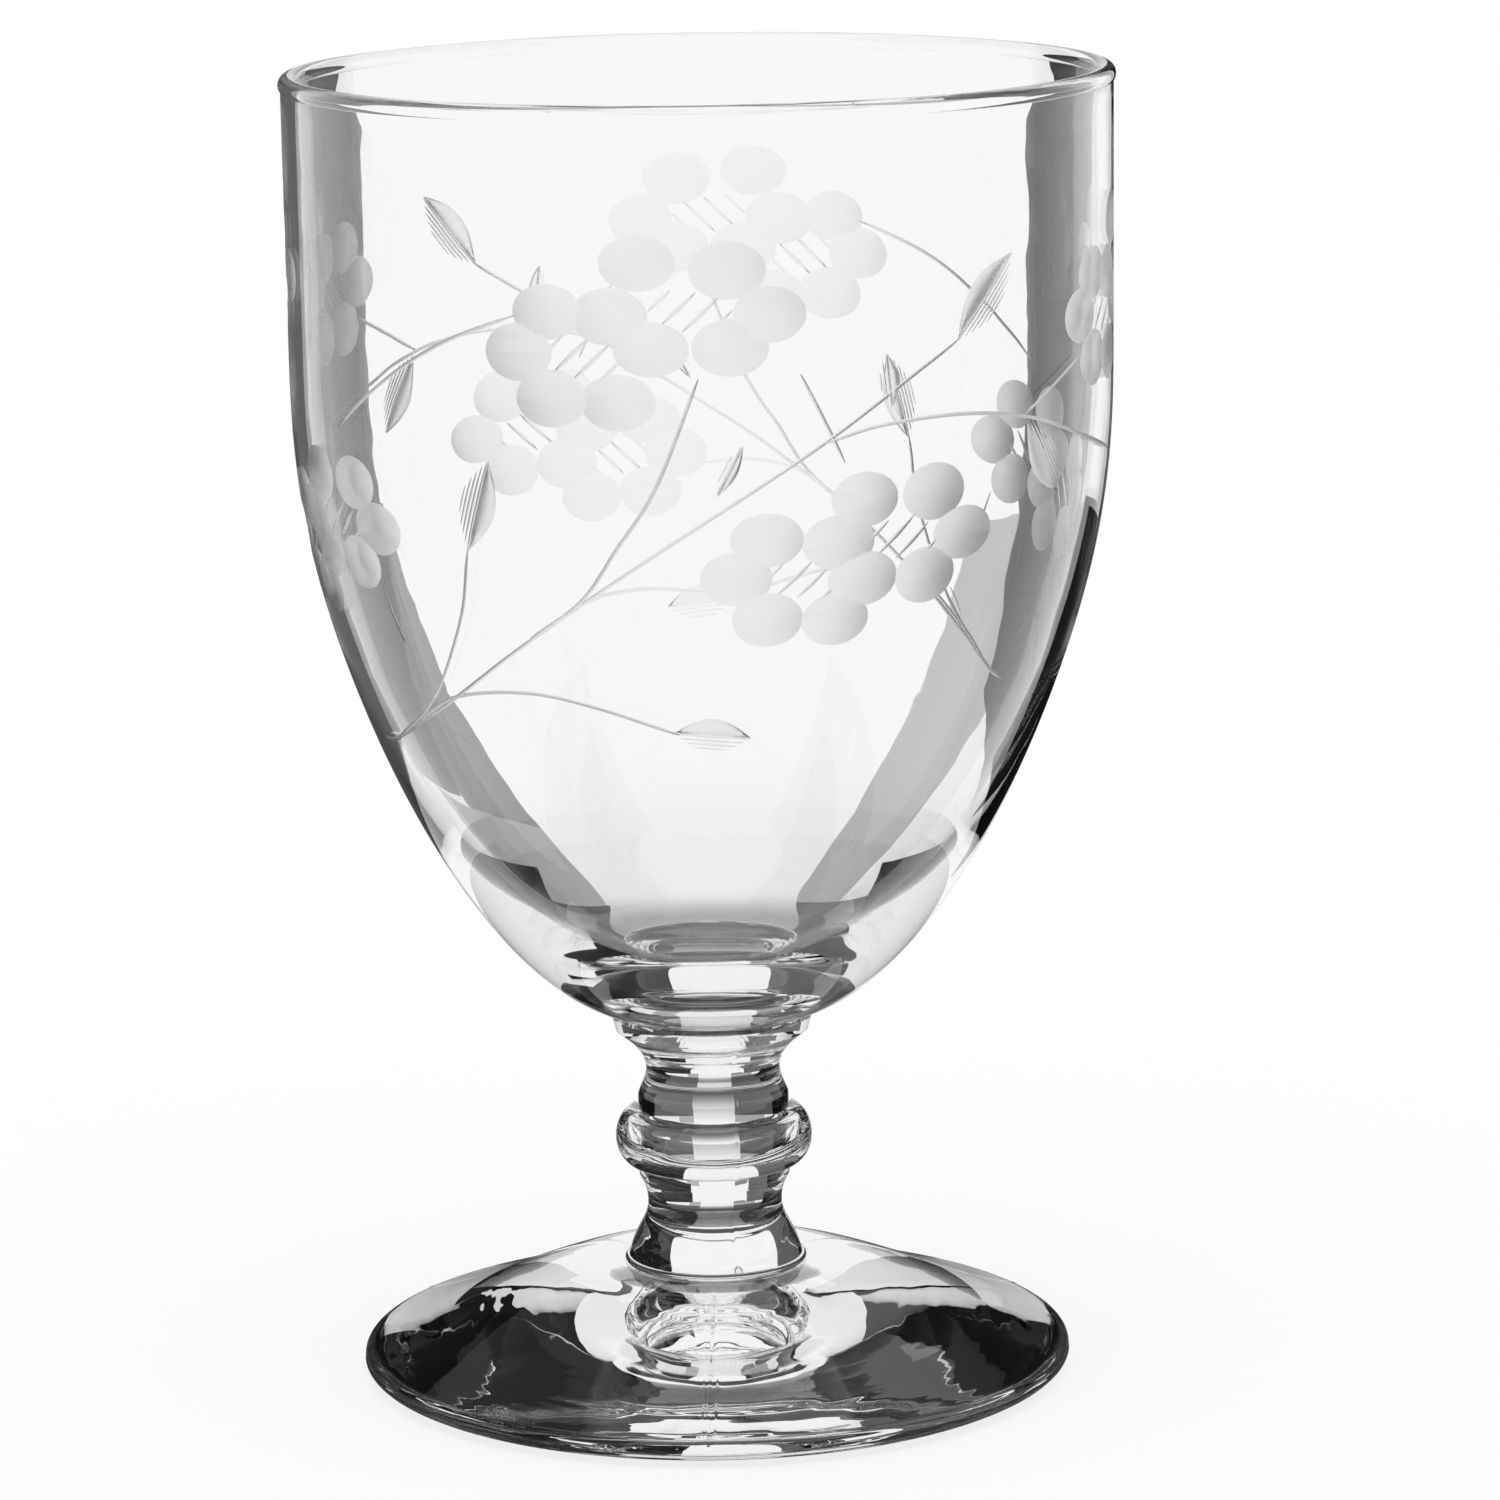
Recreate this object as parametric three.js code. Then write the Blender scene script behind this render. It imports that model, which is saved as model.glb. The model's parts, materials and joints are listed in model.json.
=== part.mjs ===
// Stemmed water goblet: a blown bowl, a pressed stem and a pressed foot, fused at two flat seats.
// Millimetres, +Z up. The origin is the middle of the circle that the foot stands on.
import * as THREE from "three";

// Foot: a shallow cone with a raised middle, a rounded edge and a hollow underside
const FOOT_RADIUS = 36.25;
const FOOT_HEIGHT = 10.8; // from the table to the stem's seat
const FOOT_EDGE_TOP = 2.7; // height at which the rounded edge turns into the cone
const FOOT_EDGE_MIDDLE = 1.5; // height at which the foot is widest
const FOOT_EDGE_INSET = 0.8; // how far in from the widest place the cone starts
const STANDING_RING_RADIUS = 32.4; // middle of the flat ring
const STANDING_RING_WIDTH = 1.6;
const FOOT_HOLLOW_DEPTH = 2.9;
const HUB_RADIUS = 14.8; // shoulder of the raised middle
const HUB_CROWN_HEIGHT = 0.42; // from the shoulder to the stem's seat
const HUB_SEAT_MARGIN = 0.4; // flat left round the stem's base

// Stem: the turned outline from the base upwards
const STEM_BASE_RADIUS = 8.9;
const STEM_LIP_REACH = 0.4; // how far the lip stands out round the base
const STEM_LIP_HEIGHT = 0.7;
const STEM_FLARE_HEIGHT = 5.5; // from the lip to the lower waist
const WAIST_RADIUS = 6.85;
const LOWER_WAIST_HEIGHT = 3; // from the waist to the lower drum
const DRUM_RADIUS = 7.7;
const LOWER_DRUM_HEIGHT = 1;
const KNOP_RADIUS = 10.05;
const KNOP_HEIGHT = 6;
const UPPER_DRUM_HEIGHT = 1.4;
const UPPER_WAIST_HEIGHT = 2.7; // from the upper drum to the waist
const DISC_FLARE_HEIGHT = 3.1; // from the waist to the underside of the disc
const DISC_UNDERSIDE_RADIUS = 8.5;
const DISC_CHAMFER_HEIGHT = 1.1;
const DISC_LOWER_RADIUS = 9.9;
const DISC_SIDE_HEIGHT = 1.4;
const DISC_RADIUS = 10.25;
const DISC_EDGE_ROUND = 0.3;

// Bowl: a deep cup with a nearly straight wall and a bead rim
const BOWL_SEAT_RADIUS = 9.2;
const BOWL_HIP_RADIUS = 36.5;
const BOWL_HIP_HEIGHT = 38; // above the seat, as the heights below are
const BOWL_BELLY_RADIUS = 41.1;
const BOWL_BELLY_HEIGHT = 68.2;
const BOWL_RADIUS = 41.2; // outside of the wall under the bead
const BOWL_HEIGHT = 96; // to the top of the bead
const BOWL_WALL = 1.55;
const BOWL_HIP_WALL = 1.7;
const BOWL_FLOOR = 5.2;
const BOWL_HEEL_RADIUS = 16.4; // where the inside turns from floor to wall
const BOWL_HEEL_RISE = 3.6; // above the middle of the floor
const RIM_BEAD_RADIUS = 0.98;
const RIM_BEAD_REACH = 0.25; // how far the bead stands out from the wall

// Slopes of the outlines, measured up from level on the way from the foot to the rim
const slope = THREE.MathUtils.degToRad;
const LEVEL = slope(0);
const UPRIGHT = slope(90);
const LEVEL_INWARDS = slope(180);
const HOLLOW_EDGE_SLOPE = slope(-1);
const FOOT_EDGE_SLOPE = slope(165);
const HUB_SHOULDER_SLOPE = slope(165.8);
const STEM_FLARE_SLOPE = slope(105);
const LOWER_DRUM_SLOPE = slope(62);
const UPPER_DRUM_SLOPE = slope(112);
const DISC_FLARE_SLOPE = slope(48);
const BOWL_SEAT_SLOPE = slope(11);
const BOWL_FLOOR_SLOPE = slope(3);
const BOWL_HEEL_SLOPE = slope(36);
const BOWL_HIP_SLOPE = slope(71.7);

// How far each curve runs straight from its two ends, as shares of its own chord
const HOLLOW_SHARES = [0.5, 0.28];
const FOOT_EDGE_SHARES = [0.45, 0.3];
const FOOT_CONE_SHARES = [0.35, 0.3];
const HUB_CROWN_SHARES = [0.4, 0.4];
const STEM_FLARE_SHARES = [0.5, 0.3];
const WAIST_SHARES = [0.45, 0.3];
const DISC_FLARE_SHARES = [0.4, 0.35];
const BOWL_LOWER_SHARES = [0.217, 0.452];
const BOWL_UPPER_SHARES = [0.408, 0.335];
const BOWL_FLOOR_SHARES = [0.45, 0.4];
const BOWL_INSIDE_SHARES = [0.34, 0.248];

// Fineness of the turned surfaces
const BOWL_SIDES = 56;
const STEM_SIDES = 40;
const FOOT_SIDES = 56;
const LONG_CURVE_STEPS = 9;
const CURVE_STEPS = 5;
const EDGE_STEPS = 3;
const BEAD_STEPS = 8;

// A point of an outline, by its distance from the axis and its height
const at = (radius, height) => new THREE.Vector2(radius, height);

// The point reached from another by going a distance along a slope
function along(start, angle, distance) {
  return at(start.x + distance * Math.cos(angle), start.y + distance * Math.sin(angle));
}

// Points of a curve that leaves its start and reaches its end along the two given slopes
function sweep(start, startSlope, end, endSlope, shares, steps) {
  const chord = start.distanceTo(end);
  const leaving = along(start, startSlope, shares[0] * chord);
  const arriving = along(end, endSlope, -shares[1] * chord);
  return new THREE.CubicBezierCurve(start, leaving, arriving, end).getPoints(steps);
}

// Points of an arc of an ellipse, counter-clockwise between two angles
function arc(centre, acrossRadius, uprightRadius, from, to, steps) {
  return new THREE.EllipseCurve(centre.x, centre.y, acrossRadius, uprightRadius, from, to).getPoints(steps);
}

// Turns an outline that starts and ends on the axis into a named piece of clear glass
function turned(name, runs, sides) {
  const outline = runs.flat().filter((point, i, all) => i === 0 || !point.equals(all[i - 1]));
  const glass = new THREE.MeshStandardMaterial({ color: 0xf2f6f5, roughness: 0.03, metalness: 0 });
  glass.transparent = true;
  glass.opacity = 0.35;
  const piece = new THREE.Mesh(new THREE.LatheGeometry(outline, sides).rotateX(Math.PI / 2), glass);
  piece.name = name;
  return piece;
}

// The foot, from the middle of its hollow out under the edge and up over the cone to the stem's seat
function makeFoot() {
  const ringInside = STANDING_RING_RADIUS - STANDING_RING_WIDTH / 2;
  const ringOutside = STANDING_RING_RADIUS + STANDING_RING_WIDTH / 2;
  const widest = at(FOOT_RADIUS, FOOT_EDGE_MIDDLE);
  const coneStart = at(FOOT_RADIUS - FOOT_EDGE_INSET, FOOT_EDGE_TOP);
  const shoulder = at(HUB_RADIUS, FOOT_HEIGHT - HUB_CROWN_HEIGHT);
  const seatEdge = at(STEM_BASE_RADIUS + STEM_LIP_REACH + HUB_SEAT_MARGIN, FOOT_HEIGHT);
  const underside = sweep(
    at(0, FOOT_HOLLOW_DEPTH), LEVEL, at(ringInside, 0), HOLLOW_EDGE_SLOPE, HOLLOW_SHARES, CURVE_STEPS,
  );
  const lowerEdge = arc(
    at(ringOutside, widest.y), widest.x - ringOutside, widest.y, -Math.PI / 2, 0, CURVE_STEPS,
  );
  lowerEdge[0] = at(ringOutside, 0);
  const upperEdge = sweep(widest, UPRIGHT, coneStart, FOOT_EDGE_SLOPE, FOOT_EDGE_SHARES, EDGE_STEPS);
  const cone = sweep(coneStart, FOOT_EDGE_SLOPE, shoulder, HUB_SHOULDER_SLOPE, FOOT_CONE_SHARES, CURVE_STEPS);
  const crown = sweep(shoulder, HUB_SHOULDER_SLOPE, seatEdge, LEVEL_INWARDS, HUB_CROWN_SHARES, EDGE_STEPS);
  return turned("foot", [underside, lowerEdge, upperEdge, cone, crown, [at(0, FOOT_HEIGHT)]], FOOT_SIDES);
}

// Heights of the stem's features above the table, each stacked on the one before
const lipTop = FOOT_HEIGHT + STEM_LIP_HEIGHT;
const lowerWaist = lipTop + STEM_FLARE_HEIGHT;
const lowerDrum = lowerWaist + LOWER_WAIST_HEIGHT;
const knopBottom = lowerDrum + LOWER_DRUM_HEIGHT;
const knopTop = knopBottom + KNOP_HEIGHT;
const upperDrumTop = knopTop + UPPER_DRUM_HEIGHT;
const upperWaist = upperDrumTop + UPPER_WAIST_HEIGHT;
const discUnderside = upperWaist + DISC_FLARE_HEIGHT;
const discSide = discUnderside + DISC_CHAMFER_HEIGHT;
const discEdge = discSide + DISC_SIDE_HEIGHT;
const bowlSeat = discEdge + DISC_EDGE_ROUND;

// The stem, from the middle of its base up to the middle of the disc that carries the bowl
function makeStem() {
  const quarter = Math.PI / 2;
  const lip = arc(
    at(STEM_BASE_RADIUS, FOOT_HEIGHT + STEM_LIP_HEIGHT / 2),
    STEM_LIP_REACH, STEM_LIP_HEIGHT / 2, -quarter, quarter, EDGE_STEPS,
  );
  lip[0] = at(STEM_BASE_RADIUS, FOOT_HEIGHT);
  const flare = sweep(
    at(STEM_BASE_RADIUS, lipTop), STEM_FLARE_SLOPE,
    at(WAIST_RADIUS, lowerWaist), UPRIGHT, STEM_FLARE_SHARES, CURVE_STEPS,
  );
  const belowDrum = sweep(
    at(WAIST_RADIUS, lowerWaist), UPRIGHT,
    at(DRUM_RADIUS, lowerDrum), LOWER_DRUM_SLOPE, WAIST_SHARES, EDGE_STEPS,
  );
  const knop = arc(
    at(DRUM_RADIUS, (knopBottom + knopTop) / 2),
    KNOP_RADIUS - DRUM_RADIUS, KNOP_HEIGHT / 2, -quarter, quarter, BEAD_STEPS,
  );
  const aboveDrum = sweep(
    at(DRUM_RADIUS, upperDrumTop), UPPER_DRUM_SLOPE,
    at(WAIST_RADIUS, upperWaist), UPRIGHT, WAIST_SHARES, EDGE_STEPS,
  );
  const discFlare = sweep(
    at(WAIST_RADIUS, upperWaist), UPRIGHT,
    at(DISC_UNDERSIDE_RADIUS, discUnderside), DISC_FLARE_SLOPE, DISC_FLARE_SHARES, EDGE_STEPS,
  );
  const disc = [
    at(DISC_LOWER_RADIUS, discSide),
    at(DISC_RADIUS, discEdge),
    at(DISC_RADIUS - DISC_EDGE_ROUND, bowlSeat),
    at(0, bowlSeat),
  ];
  const base = [at(0, FOOT_HEIGHT)];
  return turned("stem", [base, lip, flare, belowDrum, knop, aboveDrum, discFlare, disc], STEM_SIDES);
}

// The bowl, from the middle of its seat up the outside, over the bead and down the inside to its floor
function makeBowl() {
  const seat = at(BOWL_SEAT_RADIUS, bowlSeat);
  const hip = at(BOWL_HIP_RADIUS, bowlSeat + BOWL_HIP_HEIGHT);
  const belly = at(BOWL_BELLY_RADIUS, bowlSeat + BOWL_BELLY_HEIGHT);
  const floor = at(0, bowlSeat + BOWL_FLOOR);
  const heel = at(BOWL_HEEL_RADIUS, floor.y + BOWL_HEEL_RISE);
  const hipInside = along(hip, BOWL_HIP_SLOPE + UPRIGHT, BOWL_HIP_WALL);
  const bellyInside = at(BOWL_BELLY_RADIUS - BOWL_WALL, belly.y);
  const bead = at(
    BOWL_RADIUS + RIM_BEAD_REACH - RIM_BEAD_RADIUS,
    bowlSeat + BOWL_HEIGHT - RIM_BEAD_RADIUS,
  );
  const beadFrom = -Math.acos((BOWL_RADIUS - bead.x) / RIM_BEAD_RADIUS);
  const beadTo = 2 * Math.PI - Math.acos((BOWL_RADIUS - BOWL_WALL - bead.x) / RIM_BEAD_RADIUS);
  return turned(
    "bowl",
    [
      [at(0, bowlSeat)],
      sweep(seat, BOWL_SEAT_SLOPE, hip, BOWL_HIP_SLOPE, BOWL_LOWER_SHARES, LONG_CURVE_STEPS),
      sweep(hip, BOWL_HIP_SLOPE, belly, UPRIGHT, BOWL_UPPER_SHARES, CURVE_STEPS),
      arc(bead, RIM_BEAD_RADIUS, RIM_BEAD_RADIUS, beadFrom, beadTo, BEAD_STEPS),
      sweep(hipInside, BOWL_HIP_SLOPE, bellyInside, UPRIGHT, BOWL_UPPER_SHARES, CURVE_STEPS).reverse(),
      sweep(heel, BOWL_HEEL_SLOPE, hipInside, BOWL_HIP_SLOPE, BOWL_INSIDE_SHARES, CURVE_STEPS).reverse(),
      sweep(floor, BOWL_FLOOR_SLOPE, heel, BOWL_HEEL_SLOPE, BOWL_FLOOR_SHARES, CURVE_STEPS).reverse(),
    ],
    BOWL_SIDES,
  );
}

const goblet = new THREE.Group();
goblet.name = "water_goblet";
goblet.add(makeFoot(), makeStem(), makeBowl());

export default goblet;
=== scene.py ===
# %% [markdown]
# # A stemmed water goblet with cut flowers
# Three pieces of hot glass were made apart and fused: a blown bowl, a pressed stem and a pressed
# foot. Then a cutter held the cold bowl to small stone wheels and ground a flower spray into it,
# twice round the wall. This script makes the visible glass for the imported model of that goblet.
# Clear glass shows only what it bends and mirrors, so two things decide the picture: outlines that
# are right to a few hundredths of a millimetre, and a studio with dark sides and a white middle.

import json
import math

import bpy
import numpy as np
from mathutils import Euler, Matrix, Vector
from mathutils.geometry import delaunay_2d_cdt

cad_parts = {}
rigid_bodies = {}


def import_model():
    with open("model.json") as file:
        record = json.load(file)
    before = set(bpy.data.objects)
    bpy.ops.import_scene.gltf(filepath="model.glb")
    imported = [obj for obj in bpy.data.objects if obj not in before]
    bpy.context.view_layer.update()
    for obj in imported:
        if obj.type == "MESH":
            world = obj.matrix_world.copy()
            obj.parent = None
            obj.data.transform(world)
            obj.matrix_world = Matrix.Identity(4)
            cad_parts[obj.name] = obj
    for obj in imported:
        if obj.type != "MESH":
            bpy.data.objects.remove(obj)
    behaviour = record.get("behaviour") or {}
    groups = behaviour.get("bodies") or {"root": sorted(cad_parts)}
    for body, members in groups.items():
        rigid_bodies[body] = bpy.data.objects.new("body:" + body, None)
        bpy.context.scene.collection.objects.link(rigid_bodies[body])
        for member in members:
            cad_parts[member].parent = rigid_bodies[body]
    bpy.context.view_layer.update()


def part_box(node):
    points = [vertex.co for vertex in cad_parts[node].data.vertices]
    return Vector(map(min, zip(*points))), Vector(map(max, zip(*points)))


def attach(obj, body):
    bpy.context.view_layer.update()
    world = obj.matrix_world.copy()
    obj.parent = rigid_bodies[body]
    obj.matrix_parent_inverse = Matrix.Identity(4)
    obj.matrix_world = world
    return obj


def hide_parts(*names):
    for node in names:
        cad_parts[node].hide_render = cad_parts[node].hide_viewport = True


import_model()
MM = 0.001

foot_low, foot_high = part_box("foot")
stem_low, stem_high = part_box("stem")
bowl_low, bowl_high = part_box("bowl")
FOOT_RADIUS = foot_high.x / MM
FOOT_HEIGHT = foot_high.z / MM
DISC_RADIUS = stem_high.x / MM
BOWL_SEAT = bowl_low.z / MM
RIM_HEIGHT = bowl_high.z / MM
RIM_RADIUS = bowl_high.x / MM
print(f"foot {FOOT_RADIUS:.2f} mm radius, rim {RIM_RADIUS:.2f} mm radius at {RIM_HEIGHT:.1f} mm")

# %% [markdown]
# ## The camera
# The photograph looks slightly down on the goblet through a long lens. Distance, height and tilt
# were worked out from the ellipses that the rim and the foot draw in it. The camera comes first,
# because the studio turns to face it.

# %% Camera
CAMERA_DISTANCE = 0.6114  # metres from the goblet's axis
CAMERA_HEIGHT = 0.1871
CAMERA_PITCH = math.radians(11.39)  # looking down
CAMERA_YAW = math.radians(0.40)
CAMERA_ROLL = math.radians(-0.85)
LENS_MM = 147.96
SENSOR_MM = 36.0


def make_camera():
    """Camera of the photograph: a long lens, a little above the rim, looking down along +Y."""
    camera = bpy.data.objects.new("camera", bpy.data.cameras.new("camera"))
    camera.data.lens = LENS_MM
    camera.data.sensor_width = SENSOR_MM
    camera.data.clip_start = 0.01
    camera.location = (0, -CAMERA_DISTANCE, CAMERA_HEIGHT)
    aim = Euler((math.pi / 2 - CAMERA_PITCH, 0, -CAMERA_YAW)).to_matrix()
    camera.rotation_euler = (aim @ Matrix.Rotation(CAMERA_ROLL, 3, "Z")).to_euler()
    bpy.context.scene.collection.objects.link(camera)
    bpy.context.scene.camera = camera
    return camera


camera = make_camera()
print("camera at", tuple(round(value, 4) for value in camera.location))

# %% [markdown]
# ## Curves for turned outlines
# A turned piece could be a stack of cylinders and cones, or a screw modifier on a curve. Here each
# outline is a short chain of cubic curves with a chosen slope at both ends, because a slope that
# jumps from one curve to the next would show as a bright line in the glass.

# %% Curves
LEVEL = 0.0
UPRIGHT = 90.0
LEVEL_INWARDS = 180.0


def direction(slope):
    """Unit step (cos, sin) along a slope in degrees, measured up from level."""
    return np.array([math.cos(math.radians(slope)), math.sin(math.radians(slope))])


def sweep(start, start_slope, end, end_slope, shares, steps):
    """Cubic curve from start to end: its inner control points lie along the two slopes, each at
    its share of the chord's length."""
    start, end = np.array(start, float), np.array(end, float)
    chord = np.linalg.norm(end - start)
    leaving = start + shares[0] * chord * direction(start_slope)
    arriving = end - shares[1] * chord * direction(end_slope)
    t = np.linspace(0, 1, steps + 1)[:, None]
    return (
        (1 - t) ** 3 * start
        + 3 * (1 - t) ** 2 * t * leaving
        + 3 * (1 - t) * t**2 * arriving
        + t**3 * end
    )


def arc(centre, across, upright, start, end, steps):
    """Points of an ellipse's arc between two angles in degrees."""
    angle = np.radians(np.linspace(start, end, steps + 1))
    return np.array(centre) + np.stack([across * np.cos(angle), upright * np.sin(angle)], 1)


def outline(*runs):
    """Joins runs of points into one outline and drops a point that repeats the one before."""
    points = np.vstack([np.atleast_2d(run) for run in runs])
    step = np.linalg.norm(np.diff(points, axis=0), axis=1)
    return points[np.concatenate([[True], step > 1e-6])]


# %% [markdown]
# ## Turning an outline into glass
# The surface is (r cos a, r sin a, z) for every point (r, z) of the outline and every angle a. The
# angles are closest together at the mould seams, so that a seam half a millimetre wide is real
# geometry. Where two pieces are fused there is no surface in the real glass, only more glass, so
# the hidden seats get a material that light goes straight through.

# %% Turned surfaces
SIDES = 192
CLEAR, FUSED, GROUND = 0, 1, 2
SEAM_WIDTH = 0.30  # millimetres, half of the raised line that a mould's joint leaves
SEAM_HEIGHT = 0.06
SHARP_ANGLE = math.radians(35)  # a turned edge sharper than this isn't smoothed over


def turn_angles(seams, radius):
    """Even angles round the circle, plus a few close ones across each seam."""
    angles = [np.arange(SIDES) * 2 * math.pi / SIDES]
    for seam in seams:
        spread = np.linspace(-1.5, 1.5, 7) * SEAM_WIDTH / radius
        angles.append(math.radians(seam) + spread)
    return np.unique(np.round(np.concatenate(angles) % (2 * math.pi), 7))


def wrap(angle):
    """An angle brought between minus and plus half a turn."""
    return (angle + math.pi) % (2 * math.pi) - math.pi


def grid_faces(rows, columns):
    """Quads between neighbouring rows of points, closed round the columns."""
    row = np.arange(rows - 1)[:, None] * columns
    here = np.arange(columns)[None]
    after = (here + 1) % columns
    above = row + columns
    return np.stack([row + here, row + after, above + after, above + here], -1).reshape(-1, 4)


def make_mesh(name, points, faces, slots, materials):
    """One object at the origin, from points in millimetres, faces and each face's material slot."""
    mesh = bpy.data.meshes.new(name)
    mesh.from_pydata((points * MM).tolist(), [], faces)
    for material in materials:
        mesh.materials.append(material)
    mesh.polygons.foreach_set("material_index", slots)
    mesh.polygons.foreach_set("use_smooth", [True] * len(mesh.polygons))
    mesh.update()
    piece = bpy.data.objects.new(name, mesh)
    bpy.context.scene.collection.objects.link(piece)
    return piece

# %% [markdown]
# ## Clear glass and ground glass
# Clear glass could be a plain refraction shader, but hot-worked glass is never optically flat: its
# skin has a slow ripple, a trace of handling on it, and a faint cold tint. The bowl was blown and
# its skin is calm. The stem and the foot were pressed against iron, which leaves a livelier skin
# with fine rings from the turned mould. Both use one skin, with shares of their own. Ground glass
# is the same glass torn by a stone wheel: it lets light through but scatters it, with fine
# scratches along the wheel's way.

# %% Ripple and grain shared by both glasses
RIPPLE_SIZE = 0.011  # metres between ripples
FINE_RIPPLE_SIZE = 0.0035
RING_SIZE = 0.0024  # metres between the rings that a turned mould leaves
SMUDGE_SCALE = 45.0
SMUDGE_SHARE = (0.52, 0.75)  # noise over which a smudge comes in


def new_group(name, inputs, outputs):
    """An empty shader group with named number inputs and named outputs."""
    group = bpy.data.node_groups.new(name, "ShaderNodeTree")
    for label, value in inputs.items():
        socket = group.interface.new_socket(label, in_out="INPUT", socket_type="NodeSocketFloat")
        socket.default_value = value
    for label, kind in outputs.items():
        group.interface.new_socket(label, in_out="OUTPUT", socket_type=kind)
    return group, group.nodes.new("NodeGroupInput"), group.nodes.new("NodeGroupOutput")


def noise(nodes, links, where, scale, detail):
    """A noise node that reads a coordinate socket and repeats about scale times a metre."""
    node = nodes.new("ShaderNodeTexNoise")
    node.inputs["Scale"].default_value = scale
    node.inputs["Detail"].default_value = detail
    links.new(where, node.inputs["Vector"])
    return node


def make_skin_group():
    """Group that gives the worked skin of glass: ripples as Height, and Smudge. The rings are noise
    read at the distance from the axis and the height alone, so they run round the piece."""
    inputs = {"Fine share": 0.25, "Ring share": 0.0, "Smudge scale": SMUDGE_SCALE}
    outputs = {"Height": "NodeSocketFloat", "Smudge": "NodeSocketFloat"}
    group, given, result = new_group("worked skin of glass", inputs, outputs)
    nodes, links = group.nodes, group.links
    place = nodes.new("ShaderNodeTexCoord").outputs["Object"]
    slow = noise(nodes, links, place, 1 / RIPPLE_SIZE, 1.0)
    fine = noise(nodes, links, place, 1 / FINE_RIPPLE_SIZE, 0.0)
    split = nodes.new("ShaderNodeSeparateXYZ")
    links.new(place, split.inputs["Vector"])
    flat = nodes.new("ShaderNodeCombineXYZ")
    links.new(split.outputs["X"], flat.inputs["X"])
    links.new(split.outputs["Y"], flat.inputs["Y"])
    radius = nodes.new("ShaderNodeVectorMath")
    radius.operation = "LENGTH"
    links.new(flat.outputs["Vector"], radius.inputs[0])
    section = nodes.new("ShaderNodeCombineXYZ")
    links.new(radius.outputs["Value"], section.inputs["X"])
    links.new(split.outputs["Z"], section.inputs["Z"])
    rings = noise(nodes, links, section.outputs["Vector"], 1 / RING_SIZE, 1.0)
    height = slow.outputs["Fac"]
    for ripple, share in ((fine, "Fine share"), (rings, "Ring share")):
        part = nodes.new("ShaderNodeMath")
        part.operation = "MULTIPLY_ADD"
        links.new(ripple.outputs["Fac"], part.inputs[0])
        links.new(given.outputs[share], part.inputs[1])
        links.new(height, part.inputs[2])
        height = part.outputs[0]
    links.new(height, result.inputs["Height"])
    smudge = noise(nodes, links, place, SMUDGE_SCALE, 5.0)
    links.new(given.outputs["Smudge scale"], smudge.inputs["Scale"])
    spread = nodes.new("ShaderNodeMapRange")
    spread.inputs["From Min"].default_value = SMUDGE_SHARE[0]
    spread.inputs["From Max"].default_value = SMUDGE_SHARE[1]
    links.new(smudge.outputs["Fac"], spread.inputs["Value"])
    links.new(spread.outputs["Result"], result.inputs["Smudge"])
    return group


skin_group = make_skin_group()


def glass_nodes(name, tint, ior):
    """A material with a Principled BSDF set up as solid glass, and its node tree."""
    material = bpy.data.materials.new(name)
    material.use_nodes = True
    nodes = material.node_tree.nodes
    glass = nodes["Principled BSDF"]
    glass.inputs["Base Color"].default_value = (*tint, 1)
    glass.inputs["IOR"].default_value = ior
    glass.inputs["Transmission Weight"].default_value = 1.0
    return material, nodes, material.node_tree.links, glass


# %% The two clear glasses
GLASS_IOR = 1.5
CLEAR_TINT = (0.997, 0.998, 0.998)
SMUDGE_ROUGHNESS = 0.035
# each skin: the height of its ripple in metres, and the shares of fine ripple and of rings
BLOWN_SKIN = (0.00002, 0.25, 0.0)
PRESSED_SKIN = (0.00005, 0.5, 0.6)


def make_clear_glass(name, height, fine_share, ring_share):
    """Clear soda glass: smooth, with a rippled skin and faint smudges."""
    material, nodes, links, glass = glass_nodes(name, CLEAR_TINT, GLASS_IOR)
    skin = nodes.new("ShaderNodeGroup")
    skin.node_tree = skin_group
    skin.inputs["Fine share"].default_value = fine_share
    skin.inputs["Ring share"].default_value = ring_share
    haze = nodes.new("ShaderNodeMapRange")
    haze.inputs["To Max"].default_value = SMUDGE_ROUGHNESS
    links.new(skin.outputs["Smudge"], haze.inputs["Value"])
    links.new(haze.outputs["Result"], glass.inputs["Roughness"])
    bump = nodes.new("ShaderNodeBump")
    bump.inputs["Strength"].default_value = 1.0
    bump.inputs["Distance"].default_value = height
    links.new(skin.outputs["Height"], bump.inputs["Height"])
    links.new(bump.outputs["Normal"], glass.inputs["Normal"])
    return material


blown_glass = make_clear_glass("blown_clear_glass", *BLOWN_SKIN)
pressed_glass = make_clear_glass("pressed_clear_glass", *PRESSED_SKIN)

# %% The ground glass of the cuts
GROUND_TINT = (0.955, 0.957, 0.957)
GROUND_ROUGHNESS = (0.30, 0.48)
SCRATCH_SCALE = (250.0, 250.0, 2600.0)  # the wheel ran level, so the scratches are level too
SCRATCH_DEPTH = 0.000012


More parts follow.
